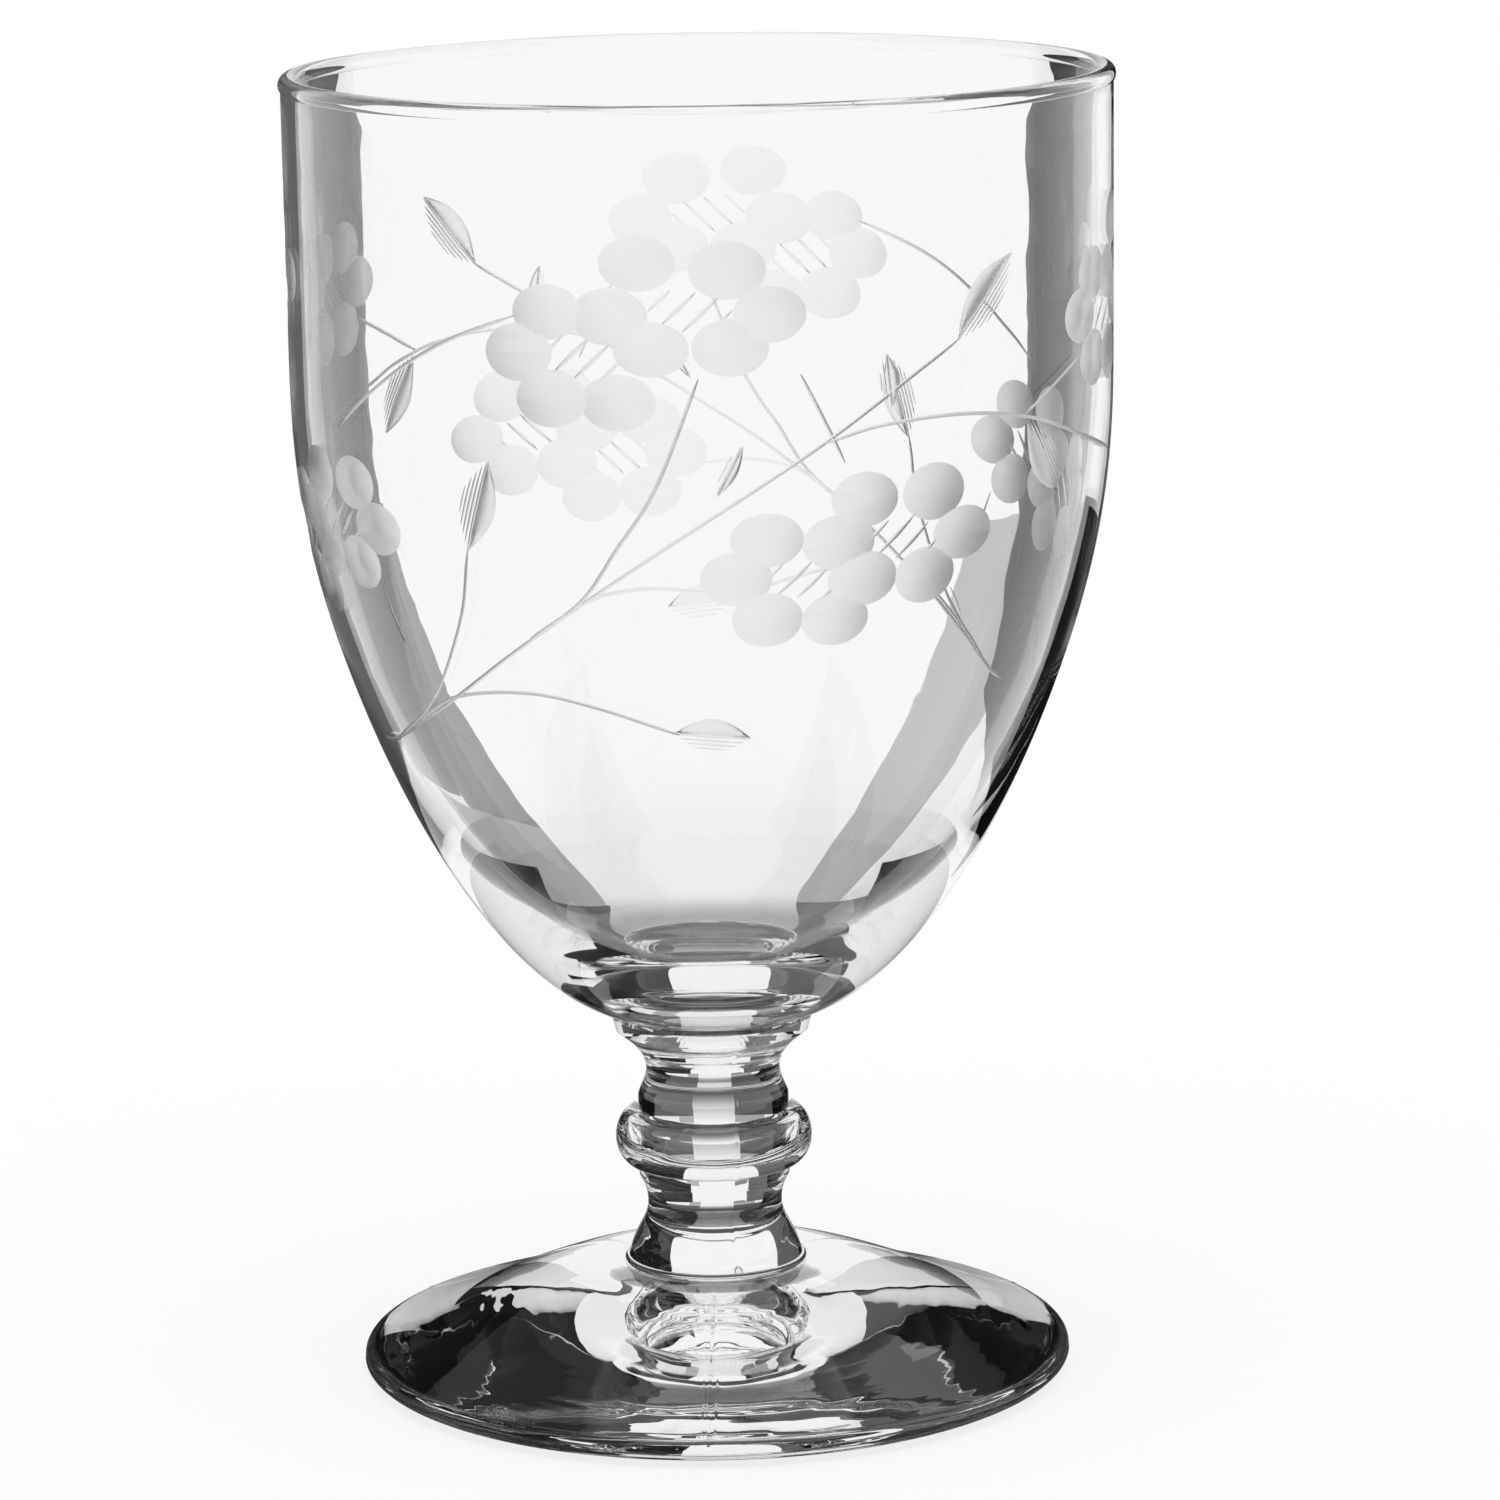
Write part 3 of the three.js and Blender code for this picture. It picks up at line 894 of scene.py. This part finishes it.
def put_on_borders(flat):
    """Border points put exactly in place: on the columns above and below, and at equal heights on
    both sides of the slit, so that neighbours share them."""
    for height in (CUT_LOW, CUT_HIGH):
        near = np.abs(flat[:, 1] - height) < 1e-3
        flat[near, 1] = height
        flat[near, 0] = FLAT_START + np.round((flat[near, 0] - FLAT_START) / COLUMN) * COLUMN
    left = np.flatnonzero(np.abs(flat[:, 0] - FLAT_START) < 1e-3)
    right = np.flatnonzero(np.abs(flat[:, 0] - FLAT_END) < 1e-3)
    flat[left, 0], flat[right, 0] = FLAT_START, FLAT_END
    partner = np.abs(flat[left, 1][None] - flat[right, 1][:, None]).argmin(1)
    flat[right, 1] = flat[left, 1][partner]
    return flat


def flat_wall():
    """Triangles of the flat wall that keep to every outline, as flat points and index triples."""
    points, edges = [], []
    count = 0

    def add(chain, closed):
        nonlocal count
        points.append(chain)
        index = count + np.arange(len(chain))
        edges.append(np.stack([index[:-1], index[1:]], 1))
        if closed:
            edges.append([[index[-1], index[0]]])
        count += len(chain)

    across = FLAT_START + np.arange(SIDES + 1) * COLUMN
    upright = np.linspace(CUT_LOW, CUT_HIGH, SLIT_POINTS)
    for height in (CUT_LOW, CUT_HIGH):
        add(np.stack([across, np.full(len(across), height)], 1), False)
    for around in (FLAT_START, FLAT_END):
        add(np.stack([np.full(len(upright), around), upright], 1), False)
    for _, loop, bottom, _, _ in cuts:
        add(loop, True)
        if bottom is not None:
            add(bottom, False)
    fine = honeycomb(FINE_GAP)
    points += [honeycomb(COARSE_GAP), fine[depth_at(fine) > FINE_DEPTH]]
    flat = np.vstack(points)
    result = delaunay_2d_cdt(flat.tolist(), np.vstack(edges).tolist(), [], 0, 1e-6, False)
    flat = put_on_borders(np.array([tuple(vertex) for vertex in result[0]]))
    triangles = np.array(result[2])
    middle = flat[triangles].mean(1)
    kept = (middle > (FLAT_START, CUT_LOW)).all(1) & (middle < (FLAT_END, CUT_HIGH)).all(1)
    triangles = triangles[kept]
    a, b, c = (flat[triangles[:, corner]] for corner in range(3))
    turn = (b[:, 0] - a[:, 0]) * (c[:, 1] - a[:, 1]) - (b[:, 1] - a[:, 1]) * (c[:, 0] - a[:, 0])
    triangles[turn < 0] = triangles[turn < 0][:, ::-1]
    return flat, triangles[np.abs(turn) > 1e-9]


flat, triangles = flat_wall()
print(f"flat wall: {len(flat)} points, {len(triangles)} triangles, {len(cuts)} cuts")

# %% Normals of the cut wall
PROBE = 0.01  # millimetres aside at which the slope of a cut is read
DRAWN_IN = 0.15  # share by which a ground corner's normal is read nearer the triangle's middle


def cut_normals(corners):
    """Normals at flat places: the wall's own, tipped by the slope of the depth there."""
    angle, radius, outwards, upwards = wall_frame(corners[:, 0], corners[:, 1])
    aside = depth_at(corners + (PROBE, 0)) - depth_at(corners - (PROBE, 0))
    above = depth_at(corners + (0, PROBE)) - depth_at(corners - (0, PROBE))
    aside = aside / (2 * PROBE) * BOWL_RADIUS / radius
    above = above / (2 * PROBE) * outwards
    out = np.stack([outwards * np.cos(angle), outwards * np.sin(angle), upwards], 1)
    round_wall = np.stack([-np.sin(angle), np.cos(angle), 0 * angle], 1)
    up_wall = np.stack([-upwards * np.cos(angle), -upwards * np.sin(angle), outwards], 1)
    normal = out + aside[:, None] * round_wall + above[:, None] * up_wall
    return normal / np.linalg.norm(normal, axis=1)[:, None]


def cut_wall():
    """The wall between the two heights: points, triangles, a normal for each corner, and slots."""
    depth = depth_at(flat)
    points = wall_point(flat[:, 0], flat[:, 1], depth)
    middle = flat[triangles].mean(1)
    ground = depth_at(middle) > 1e-5
    corners = flat[triangles]
    nearer = corners * (1 - DRAWN_IN) + middle[:, None] * DRAWN_IN
    corners = np.where(ground[:, None, None], nearer, corners)
    normals = np.zeros((len(triangles), 3, 3))
    for slot_is_ground in (False, True):
        rows = ground == slot_is_ground
        places = corners[rows].reshape(-1, 2)
        if slot_is_ground:
            found = cut_normals(places)
        else:
            angle, _, outwards, upwards = wall_frame(places[:, 0], places[:, 1])
            found = np.stack([outwards * np.cos(angle), outwards * np.sin(angle), upwards], 1)
        normals[rows] = found.reshape(-1, 3, 3)
    return points, triangles, normals.reshape(-1, 3), np.where(ground, GROUND, CLEAR)


# %% The whole bowl
def strip(rows, row_normals):
    """A stretch of plain turned wall: points, quads and a normal for each corner."""
    angles = FLAT_START / BOWL_RADIUS - math.pi / 2 + np.arange(SIDES) * 2 * math.pi / SIDES
    cos, sin = np.cos(angles), np.sin(angles)
    quads = grid_faces(len(rows), SIDES)
    points, normals = (
        np.stack([pairs[:, :1] * cos, pairs[:, :1] * sin, pairs[:, 1:] + 0 * cos], -1)
        for pairs in (rows, row_normals)
    )
    slots = np.full(len(quads), CLEAR)
    return points.reshape(-1, 3), quads, normals.reshape(-1, 3)[quads.ravel()], slots


def fan(ring, height, upwards, slot):
    """A flat disc that closes a turned wall on the axis."""
    angles = FLAT_START / BOWL_RADIUS - math.pi / 2 + np.arange(SIDES) * 2 * math.pi / SIDES
    points = np.stack([ring[0] * np.cos(angles), ring[0] * np.sin(angles), ring[1] + 0 * angles], 1)
    points = np.vstack([points, [[0, 0, height]]])
    here, after = np.arange(SIDES), (np.arange(SIDES) + 1) % SIDES
    order = (here, after) if upwards > 0 else (after, here)
    triangles = np.stack([*order, np.full(SIDES, SIDES)], 1)
    return points, triangles, np.tile([0, 0, upwards], (SIDES * 3, 1)), np.full(SIDES, slot)


def bowl_parts():
    """Seat, lower wall, cut wall, upper wall with bead and inside, and the middle of the floor."""
    outside, inside = bowl_outside(), bowl_inside()
    borders = [(wall_frame(0, height)[1], height) for height in (CUT_LOW, CUT_HIGH)]
    lower = outline(outside[outside[:, 1] < CUT_LOW - 0.3], borders[0])
    upper = outline(borders[1], outside[outside[:, 1] > CUT_HIGH + 0.3], bead(), inside)
    low_normals, high_normals = outline_normals(lower), outline_normals(upper)
    for normals, row, height in ((low_normals, -1, CUT_LOW), (high_normals, 0, CUT_HIGH)):
        _, _, outwards, upwards = wall_frame(0, height)
        normals[row] = (outwards, upwards)
    high_normals[-2] = (0, 1)
    return [
        fan(lower[0], BOWL_SEAT, -1, FUSED),
        strip(lower, low_normals),
        cut_wall(),
        strip(upper[:-1], high_normals[:-1]),
        fan(upper[-2], upper[-1][1], 1, CLEAR),
    ]


def joined(parts):
    """One set of points for all parts: points that lie together are made one, and a face that
    this folds flat is dropped. Returns points, faces, corner normals and slots."""
    points = np.vstack([part[0] for part in parts])
    keys = np.round(points / 1e-4 + 0.37).astype(np.int64)
    _, first, same = np.unique(keys, axis=0, return_index=True, return_inverse=True)
    same = same.ravel()
    faces, normals, slots, start = [], [], [], 0
    for part_points, part_faces, part_normals, part_slots in parts:
        index = same[part_faces + start]
        order = np.sort(index, axis=1)
        sound = (order[:, 1:] != order[:, :-1]).all(1)
        faces += index[sound].tolist()
        normals.append(part_normals.reshape(len(part_faces), -1, 3)[sound].reshape(-1, 3))
        slots.append(part_slots[sound])
        start += len(part_points)
    return points[first], faces, np.vstack(normals), np.concatenate(slots)


def make_bowl():
    """The blown bowl with its cut spray."""
    points, faces, normals, slots = joined(bowl_parts())
    bowl = make_mesh("blown_bowl", points, faces, slots, BLOWN)
    bowl.data.normals_split_custom_set(normals.tolist())
    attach(bowl, "root")
    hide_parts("bowl")
    return bowl


bowl = make_bowl()


def open_edges(piece):
    """How many edges of a piece don't lie between exactly two faces."""
    loops = np.empty(len(piece.data.loops), np.int32)
    piece.data.loops.foreach_get("edge_index", loops)
    return int((np.bincount(loops, minlength=len(piece.data.edges)) != 2).sum())


for piece in (foot, stem, bowl):
    print(piece.name, len(piece.data.polygons), "faces,", open_edges(piece), "open edges")

# %% [markdown]
# ## The studio's stand
# Glass is photographed against a bright middle with dark sides: what the glass bends only a little
# stays white, and what it bends far, at its edges and in the stem, goes dark and draws the shape.
# The dark sides are cards and boards. They could stand still, but then the goblet would look right
# from one side only, so they hang on a stand that turns to face the camera. Seen steeply from
# above they would show through the bowl as odd dark shapes, so the stand has a flap, hinged in
# front of the foot, that sinks under the floor when the camera looks down steeply.

# %% Stand that turns to the camera, and its flap
FLAP_LINE = 0.055  # metres in front of the axis where the flap is hinged
FLAP_START = math.radians(25)  # how steeply the camera looks down on the hinge before it sinks


def make_stand():
    """An upright axis through the goblet that keeps its front towards the camera."""
    stand = bpy.data.objects.new("studio_stand", None)
    bpy.context.scene.collection.objects.link(stand)
    facing = stand.constraints.new("LOCKED_TRACK")
    facing.target = camera
    facing.track_axis = "TRACK_NEGATIVE_Y"
    facing.lock_axis = "LOCK_Z"
    return stand


stand = make_stand()


def make_flap():
    """A stand for boards that is level until the camera looks down on it more steeply than
    FLAP_START. From there it follows the camera, turning about a line across the floor in front
    of the foot, so everything behind that line goes under the floor."""
    hinge = bpy.data.objects.new("studio_hinge", None)
    hinge.parent = stand
    hinge.location = (0, -FLAP_LINE, 0)
    facing = hinge.constraints.new("TRACK_TO")
    facing.target = camera
    facing.track_axis = "TRACK_NEGATIVE_Y"
    facing.up_axis = "UP_Z"
    limit = hinge.constraints.new("LIMIT_ROTATION")
    limit.use_limit_x = True
    limit.min_x = -math.pi / 2
    limit.max_x = -FLAP_START
    bpy.context.scene.collection.objects.link(hinge)
    flap = bpy.data.objects.new("studio_flap", None)
    flap.parent = hinge
    flap.location = (0, FLAP_LINE * math.cos(FLAP_START), FLAP_LINE * math.sin(FLAP_START))
    flap.rotation_euler = (FLAP_START, 0, 0)
    bpy.context.scene.collection.objects.link(flap)
    return flap


flap = make_flap()
bpy.context.view_layer.update()
print("flap stands at", tuple(round(value, 6) for value in flap.matrix_world.translation))

# %% [markdown]
# ## The floor
# The goblet stands on white paper. A plain white surface would be only as white as the lamp makes
# it, and a lamp strong enough for that would wash out the cuts. So the paper shines with a white of
# its own, and near the goblet a share of its look is left to the lamp, which keeps the shadow.
# Through the glass it is seen a little dimmer, which sets the bowl off from the paper.

# %% Sockets for light and distance
def seen_directly(nodes, links):
    """Socket that is 1 for light that reaches the eye straight, mirrored or through glass."""
    path = nodes.new("ShaderNodeLightPath")
    total = path.outputs["Is Camera Ray"]
    for way in ("Is Glossy Ray", "Is Transmission Ray"):
        add = nodes.new("ShaderNodeMath")
        add.operation = "ADD"
        add.use_clamp = True
        links.new(total, add.inputs[0])
        links.new(path.outputs[way], add.inputs[1])
        total = add.outputs[0]
    return path, total


def reach_node(nodes, links, distance, reach, low, high=1.0):
    """Socket that goes from low to high as the distance from the axis crosses a reach."""
    ramp = nodes.new("ShaderNodeMapRange")
    ramp.interpolation_type = "SMOOTHSTEP"
    ramp.inputs["From Min"].default_value, ramp.inputs["From Max"].default_value = reach
    ramp.inputs["To Min"].default_value, ramp.inputs["To Max"].default_value = low, high
    links.new(distance, ramp.inputs["Value"])
    return ramp.outputs["Result"]


def combined(nodes, links, operation, first, second):
    """Socket of one Math node on two sockets."""
    node = nodes.new("ShaderNodeMath")
    node.operation = operation
    links.new(first, node.inputs[0])
    links.new(second, node.inputs[1])
    return node.outputs[0]


def distance_socket(nodes, links):
    """Socket that gives the distance from the goblet's axis on something flat."""
    away = nodes.new("ShaderNodeVectorMath")
    away.operation = "LENGTH"
    links.new(nodes.new("ShaderNodeTexCoord").outputs["Object"], away.inputs[0])
    return away.outputs["Value"]

# %% The white floor
PLAIN_WHITE = (1.0, 1.0, 1.0)
FLOOR_PAINT = (0.93, 0.93, 0.93)
FLOOR_HALF = 4.0  # metres from the goblet to the floor's edge
FLOOR_GLOW = 0.8  # share of the floor's look near the goblet that is plain white rather than lit
SHADE_REACH = (0.10, 0.30)  # metres from the axis over which the lit share dies away
SEEN_IN_GLASS = 0.94  # how bright the glass sees the white room and floor
FLOOR_DROP = 0.0002  # metres that the floor lies below the foot, to leave room for thin sheets


def make_floor():
    """A plain white floor: mostly its own white, with a share near the goblet that the lamp
    lights and shades."""
    material = bpy.data.materials.new("white_floor")
    material.use_nodes = True
    nodes, links = material.node_tree.nodes, material.node_tree.links
    nodes.clear()
    lit = nodes.new("ShaderNodeBsdfDiffuse")
    lit.inputs["Color"].default_value = (*FLOOR_PAINT, 1)
    white = nodes.new("ShaderNodeEmission")
    white.inputs["Color"].default_value = (*PLAIN_WHITE, 1)
    distance = distance_socket(nodes, links)
    path, direct = seen_directly(nodes, links)
    strength = reach_node(nodes, links, path.outputs["Is Camera Ray"], (0, 1), SEEN_IN_GLASS)
    links.new(strength, white.inputs["Strength"])
    own = reach_node(nodes, links, distance, SHADE_REACH, FLOOR_GLOW)
    own = combined(nodes, links, "MAXIMUM", own, path.outputs["Is Transmission Ray"])
    mix = nodes.new("ShaderNodeMixShader")
    links.new(combined(nodes, links, "MULTIPLY", own, direct), mix.inputs["Fac"])
    links.new(lit.outputs[0], mix.inputs[1])
    links.new(white.outputs[0], mix.inputs[2])
    links.new(mix.outputs[0], nodes.new("ShaderNodeOutputMaterial").inputs["Surface"])
    mesh = bpy.data.meshes.new("floor")
    ways = ((-1, -1), (1, -1), (1, 1), (-1, 1))
    corners = [(x * FLOOR_HALF, y * FLOOR_HALF, -FLOOR_DROP) for x, y in ways]
    mesh.from_pydata(corners, [], [(0, 1, 2, 3)])
    mesh.materials.append(material)
    floor = bpy.data.objects.new("floor", mesh)
    bpy.context.scene.collection.objects.link(floor)
    return floor


floor = make_floor()
print("the floor lies at", round(floor.data.vertices[0].co.z, 6))

# %% [markdown]
# ## Cards and boards that only the glass sees
# A grey card stands a little behind the goblet on the left and a darker one on the right: they
# make the dark bands down both sides of the bowl. High black boards curve round both sides above
# and low black ones round the foot, which darken the stem and the foot's edge. Grey boards lie on
# the floor beside and behind the foot as painted shade, and the strips among them make the slanting
# bands low in the bowl. A round sheet under the goblet is painted shade, dark below the foot, as
# the ground is where the glass keeps the light off it, with a patch of painted light below each
# side of the foot's back edge. Each shines evenly with one grey, throws no light or shadow, and is
# hidden from the camera.

# %% One board
LIFT = 0.0004  # metres that a board stands above the foot's own level
BEND_STEP = 4  # degrees between the corners of a bent edge


def make_board(name, corners, faces, material):
    """A board on the flap, hidden from the camera and from plain light."""
    mesh = bpy.data.meshes.new(name)
    mesh.from_pydata(corners, [], faces)
    mesh.materials.append(material)
    board = bpy.data.objects.new(name, mesh)
    board.parent = flap
    board.visible_camera = False
    board.visible_shadow = False
    board.visible_diffuse = False
    bpy.context.scene.collection.objects.link(board)
    return board


def glow(name, grey):
    """A material that shines evenly with one grey."""
    material = bpy.data.materials.new(name)
    material.use_nodes = True
    nodes, links = material.node_tree.nodes, material.node_tree.links
    nodes.clear()
    light = nodes.new("ShaderNodeEmission")
    light.inputs["Color"].default_value = (grey, grey, grey, 1)
    links.new(light.outputs["Emission"], nodes.new("ShaderNodeOutputMaterial").inputs["Surface"])
    return material

# %% Upright cards and curved boards
# each card: its two edges as places aside and behind, in metres, its height and its grey
LEFT_CARD = ((-0.053, 0.165), (-0.115, 0.100), 0.35, 0.12)
RIGHT_CARD = ((0.064, 0.285), (0.068, 0.085), 0.35, 0.012)
# each curved board: its radius in metres, where it starts and ends in degrees from straight
# behind, its foot and top in metres, and its grey
CURVED_BOARDS = {
    "low_left": (0.050, -100, -28, LIFT, 0.031, 0.004),
    "low_right": (0.050, 28, 100, LIFT, 0.031, 0.004),
    "low_front": (0.050, 100, 260, LIFT, 0.026, 0.02),
    "far_right": (0.125, 36, 52, LIFT, 0.065, 0.01),
    "high_left": (0.25, -125, -14, 0.24, 0.60, 0.01),
    "high_right": (0.25, 14, 125, 0.24, 0.60, 0.01),
}


def make_card(name, start, end, height, grey):
    """An upright card between two places on the floor."""
    corners = [(*start, LIFT), (*end, LIFT), (*end, height), (*start, height)]
    return make_board(name, corners, [(0, 1, 2, 3)], glow(name, grey))


def make_curved_board(name, radius, start, end, bottom, top, grey):
    """A board bent round the goblet: (r sin a, r cos a) for angles a between start and end."""
    angle = np.radians(np.linspace(start, end, int(abs(end - start) / BEND_STEP) + 2))
    ring = np.stack([radius * np.sin(angle), radius * np.cos(angle)], 1)
    low = np.column_stack([ring, np.full(len(ring), bottom)])
    high = np.column_stack([ring, np.full(len(ring), top)])
    here = np.arange(len(ring) - 1)
    faces = np.stack([here, here + 1, here + 1 + len(ring), here + len(ring)], 1)
    return make_board(name, np.vstack([low, high]).tolist(), faces.tolist(), glow(name, grey))

# %% Boards that lie on the floor
# each lying board, painted shade on the floor: its inner and outer radius in metres, its start and
# end in degrees, its grey
LYING_SHADE_BOARDS = {
    "near_left": (0.045, 0.080, -45, -10, 0.10),
    "near_right": (0.045, 0.080, 8, 45, 0.13),
    "strip_left": (0.080, 0.165, -24, -10.5, 0.40),
    "strip_far_left": (0.165, 0.500, -17.5, -10.5, 0.22),
    "strip_right": (0.080, 0.480, 8, 14.5, 0.46),
}
# sheets of painted light on the ground below each side of the foot's back edge, where light comes
# through the glass
RIM_LIGHT_REACH = (0.0265, 0.0385)  # radii of the light sheets below the foot's back edge
PAINTED_RIM_LIGHTS = {"rim_light_left": (-85, -40), "rim_light_right": (40, 85)}  # degrees


def make_lying_board(name, inner, outer, start, end, grey, height=LIFT):
    """A flat board by the floor: the part of a ring between two radii and two angles."""
    angle = np.radians(np.linspace(start, end, int(abs(end - start) / BEND_STEP) + 2))
    way = np.stack([np.sin(angle), np.cos(angle)], 1)
    level = np.full(len(way), height)
    rings = [np.column_stack([way * radius, level]) for radius in (inner, outer)]
    here = np.arange(len(way) - 1)
    faces = np.stack([here, here + 1, here + 1 + len(way), here + len(way)], 1)
    return make_board(name, np.vstack(rings).tolist(), faces.tolist(), glow(name, grey))

# %% The shade below the foot
UNDER_FOOT = 0.03  # how bright the glass sees the ground below the foot, which is in its shade
NEAR_REACH = (0.034, 0.10)  # metres from the axis over which the shade turns white


def make_foot_shade():
    """A round sheet under the goblet, dark below the foot, that turns white with the distance."""
    material = glow("foot_shade", 1)
    nodes, links = material.node_tree.nodes, material.node_tree.links
    distance = distance_socket(nodes, links)
    strength = reach_node(nodes, links, distance, NEAR_REACH, UNDER_FOOT, SEEN_IN_GLASS)
    links.new(strength, nodes["Emission"].inputs["Strength"])
    angle = np.radians(np.arange(0, 360, BEND_STEP))
    round_edge = np.stack([np.cos(angle), np.sin(angle)], 1) * NEAR_REACH[1]
    corners = np.column_stack([round_edge, np.full(len(angle), -FLOOR_DROP / 2)])
    return make_board("foot_shade", corners.tolist(), [tuple(range(len(angle)))], material)

# %% All of them in place
make_foot_shade()
for name, angles in PAINTED_RIM_LIGHTS.items():
    make_lying_board(name, *RIM_LIGHT_REACH, *angles, SEEN_IN_GLASS, -FLOOR_DROP / 4)
make_card("left_card", *LEFT_CARD)
make_card("right_card", *RIGHT_CARD)
for name, sizes in CURVED_BOARDS.items():
    make_curved_board(name, *sizes)
for name, sizes in LYING_SHADE_BOARDS.items():
    make_lying_board(name, *sizes)
print(len(flap.children), "boards hang on the flap")

# %% [markdown]
# ## The room and the lamp
# The room is white to the eye and through the glass, so nothing in it draws a line on the goblet.
# To the ground cuts and to the floor it is a plain grey, which leaves their shading to one large
# soft lamp overhead. The lamp isn't mirrored in the glass.

# %% The room
ROOM_GREY = 0.5  # how bright the room is to anything that isn't seen directly


def make_room():
    """White to the eye, mirrored and through glass too; a plain grey light to everything else."""
    world = bpy.data.worlds.new("room")
    bpy.context.scene.world = world
    world.use_nodes = True
    nodes, links = world.node_tree.nodes, world.node_tree.links
    nodes.clear()
    shade = nodes.new("ShaderNodeMapRange")
    shade.inputs["To Min"].default_value = ROOM_GREY
    shade.inputs["To Max"].default_value = SEEN_IN_GLASS
    path, direct = seen_directly(nodes, links)
    links.new(direct, shade.inputs["Value"])
    background = nodes.new("ShaderNodeBackground")
    seen = path.outputs["Is Camera Ray"]
    bright = combined(nodes, links, "MAXIMUM", shade.outputs["Result"], seen)
    links.new(bright, background.inputs["Color"])
    links.new(background.outputs[0], nodes.new("ShaderNodeOutputWorld").inputs["Surface"])


make_room()

# %% The lamp
LAMP_PLACE = (0, -0.1, 1.1)  # metres, on the stand
LAMP_SIZE = (1.0, 1.0)
LAMP_POWER = 9.0  # watts
LAMP_TARGET = (0, 0, 0.07)


def make_lamp(name, place, size, power, target):
    """A soft rectangular lamp on the stand that shines at the goblet and isn't mirrored in it."""
    lamp = bpy.data.lights.new(name, "AREA")
    lamp.shape = "RECTANGLE"
    lamp.size, lamp.size_y = size
    lamp.energy = power
    holder = bpy.data.objects.new(name, lamp)
    holder.parent = stand
    holder.location = place
    aim = np.array(target) - np.array(place)
    turn = math.atan2(aim[1], aim[0]) - math.pi / 2
    tip = math.pi / 2 + math.atan2(aim[2], math.hypot(aim[0], aim[1]))
    holder.rotation_euler = (tip, 0, turn)
    holder.visible_glossy = False
    holder.visible_transmission = False
    bpy.context.scene.collection.objects.link(holder)
    return holder


make_lamp("overhead_lamp", LAMP_PLACE, LAMP_SIZE, LAMP_POWER, LAMP_TARGET)

# %% [markdown]
# ## Finish
# Light may turn often enough to come out of the solid glass again. The visible glass may not be
# larger than the imported model. The view transform is Standard, so that a white of 1 renders as
# white.

# %% Finish
LIGHT_TURNS = 24  # times that light may be bent or mirrored on its way through the glass


def allow_light_turns(count):
    """Lets a path of light through the solid glass turn often enough to come out again."""
    cycles = bpy.context.scene.cycles
    cycles.max_bounces = cycles.glossy_bounces = cycles.transmission_bounces = count


allow_light_turns(LIGHT_TURNS)
bpy.context.scene.view_settings.view_transform = "Standard"
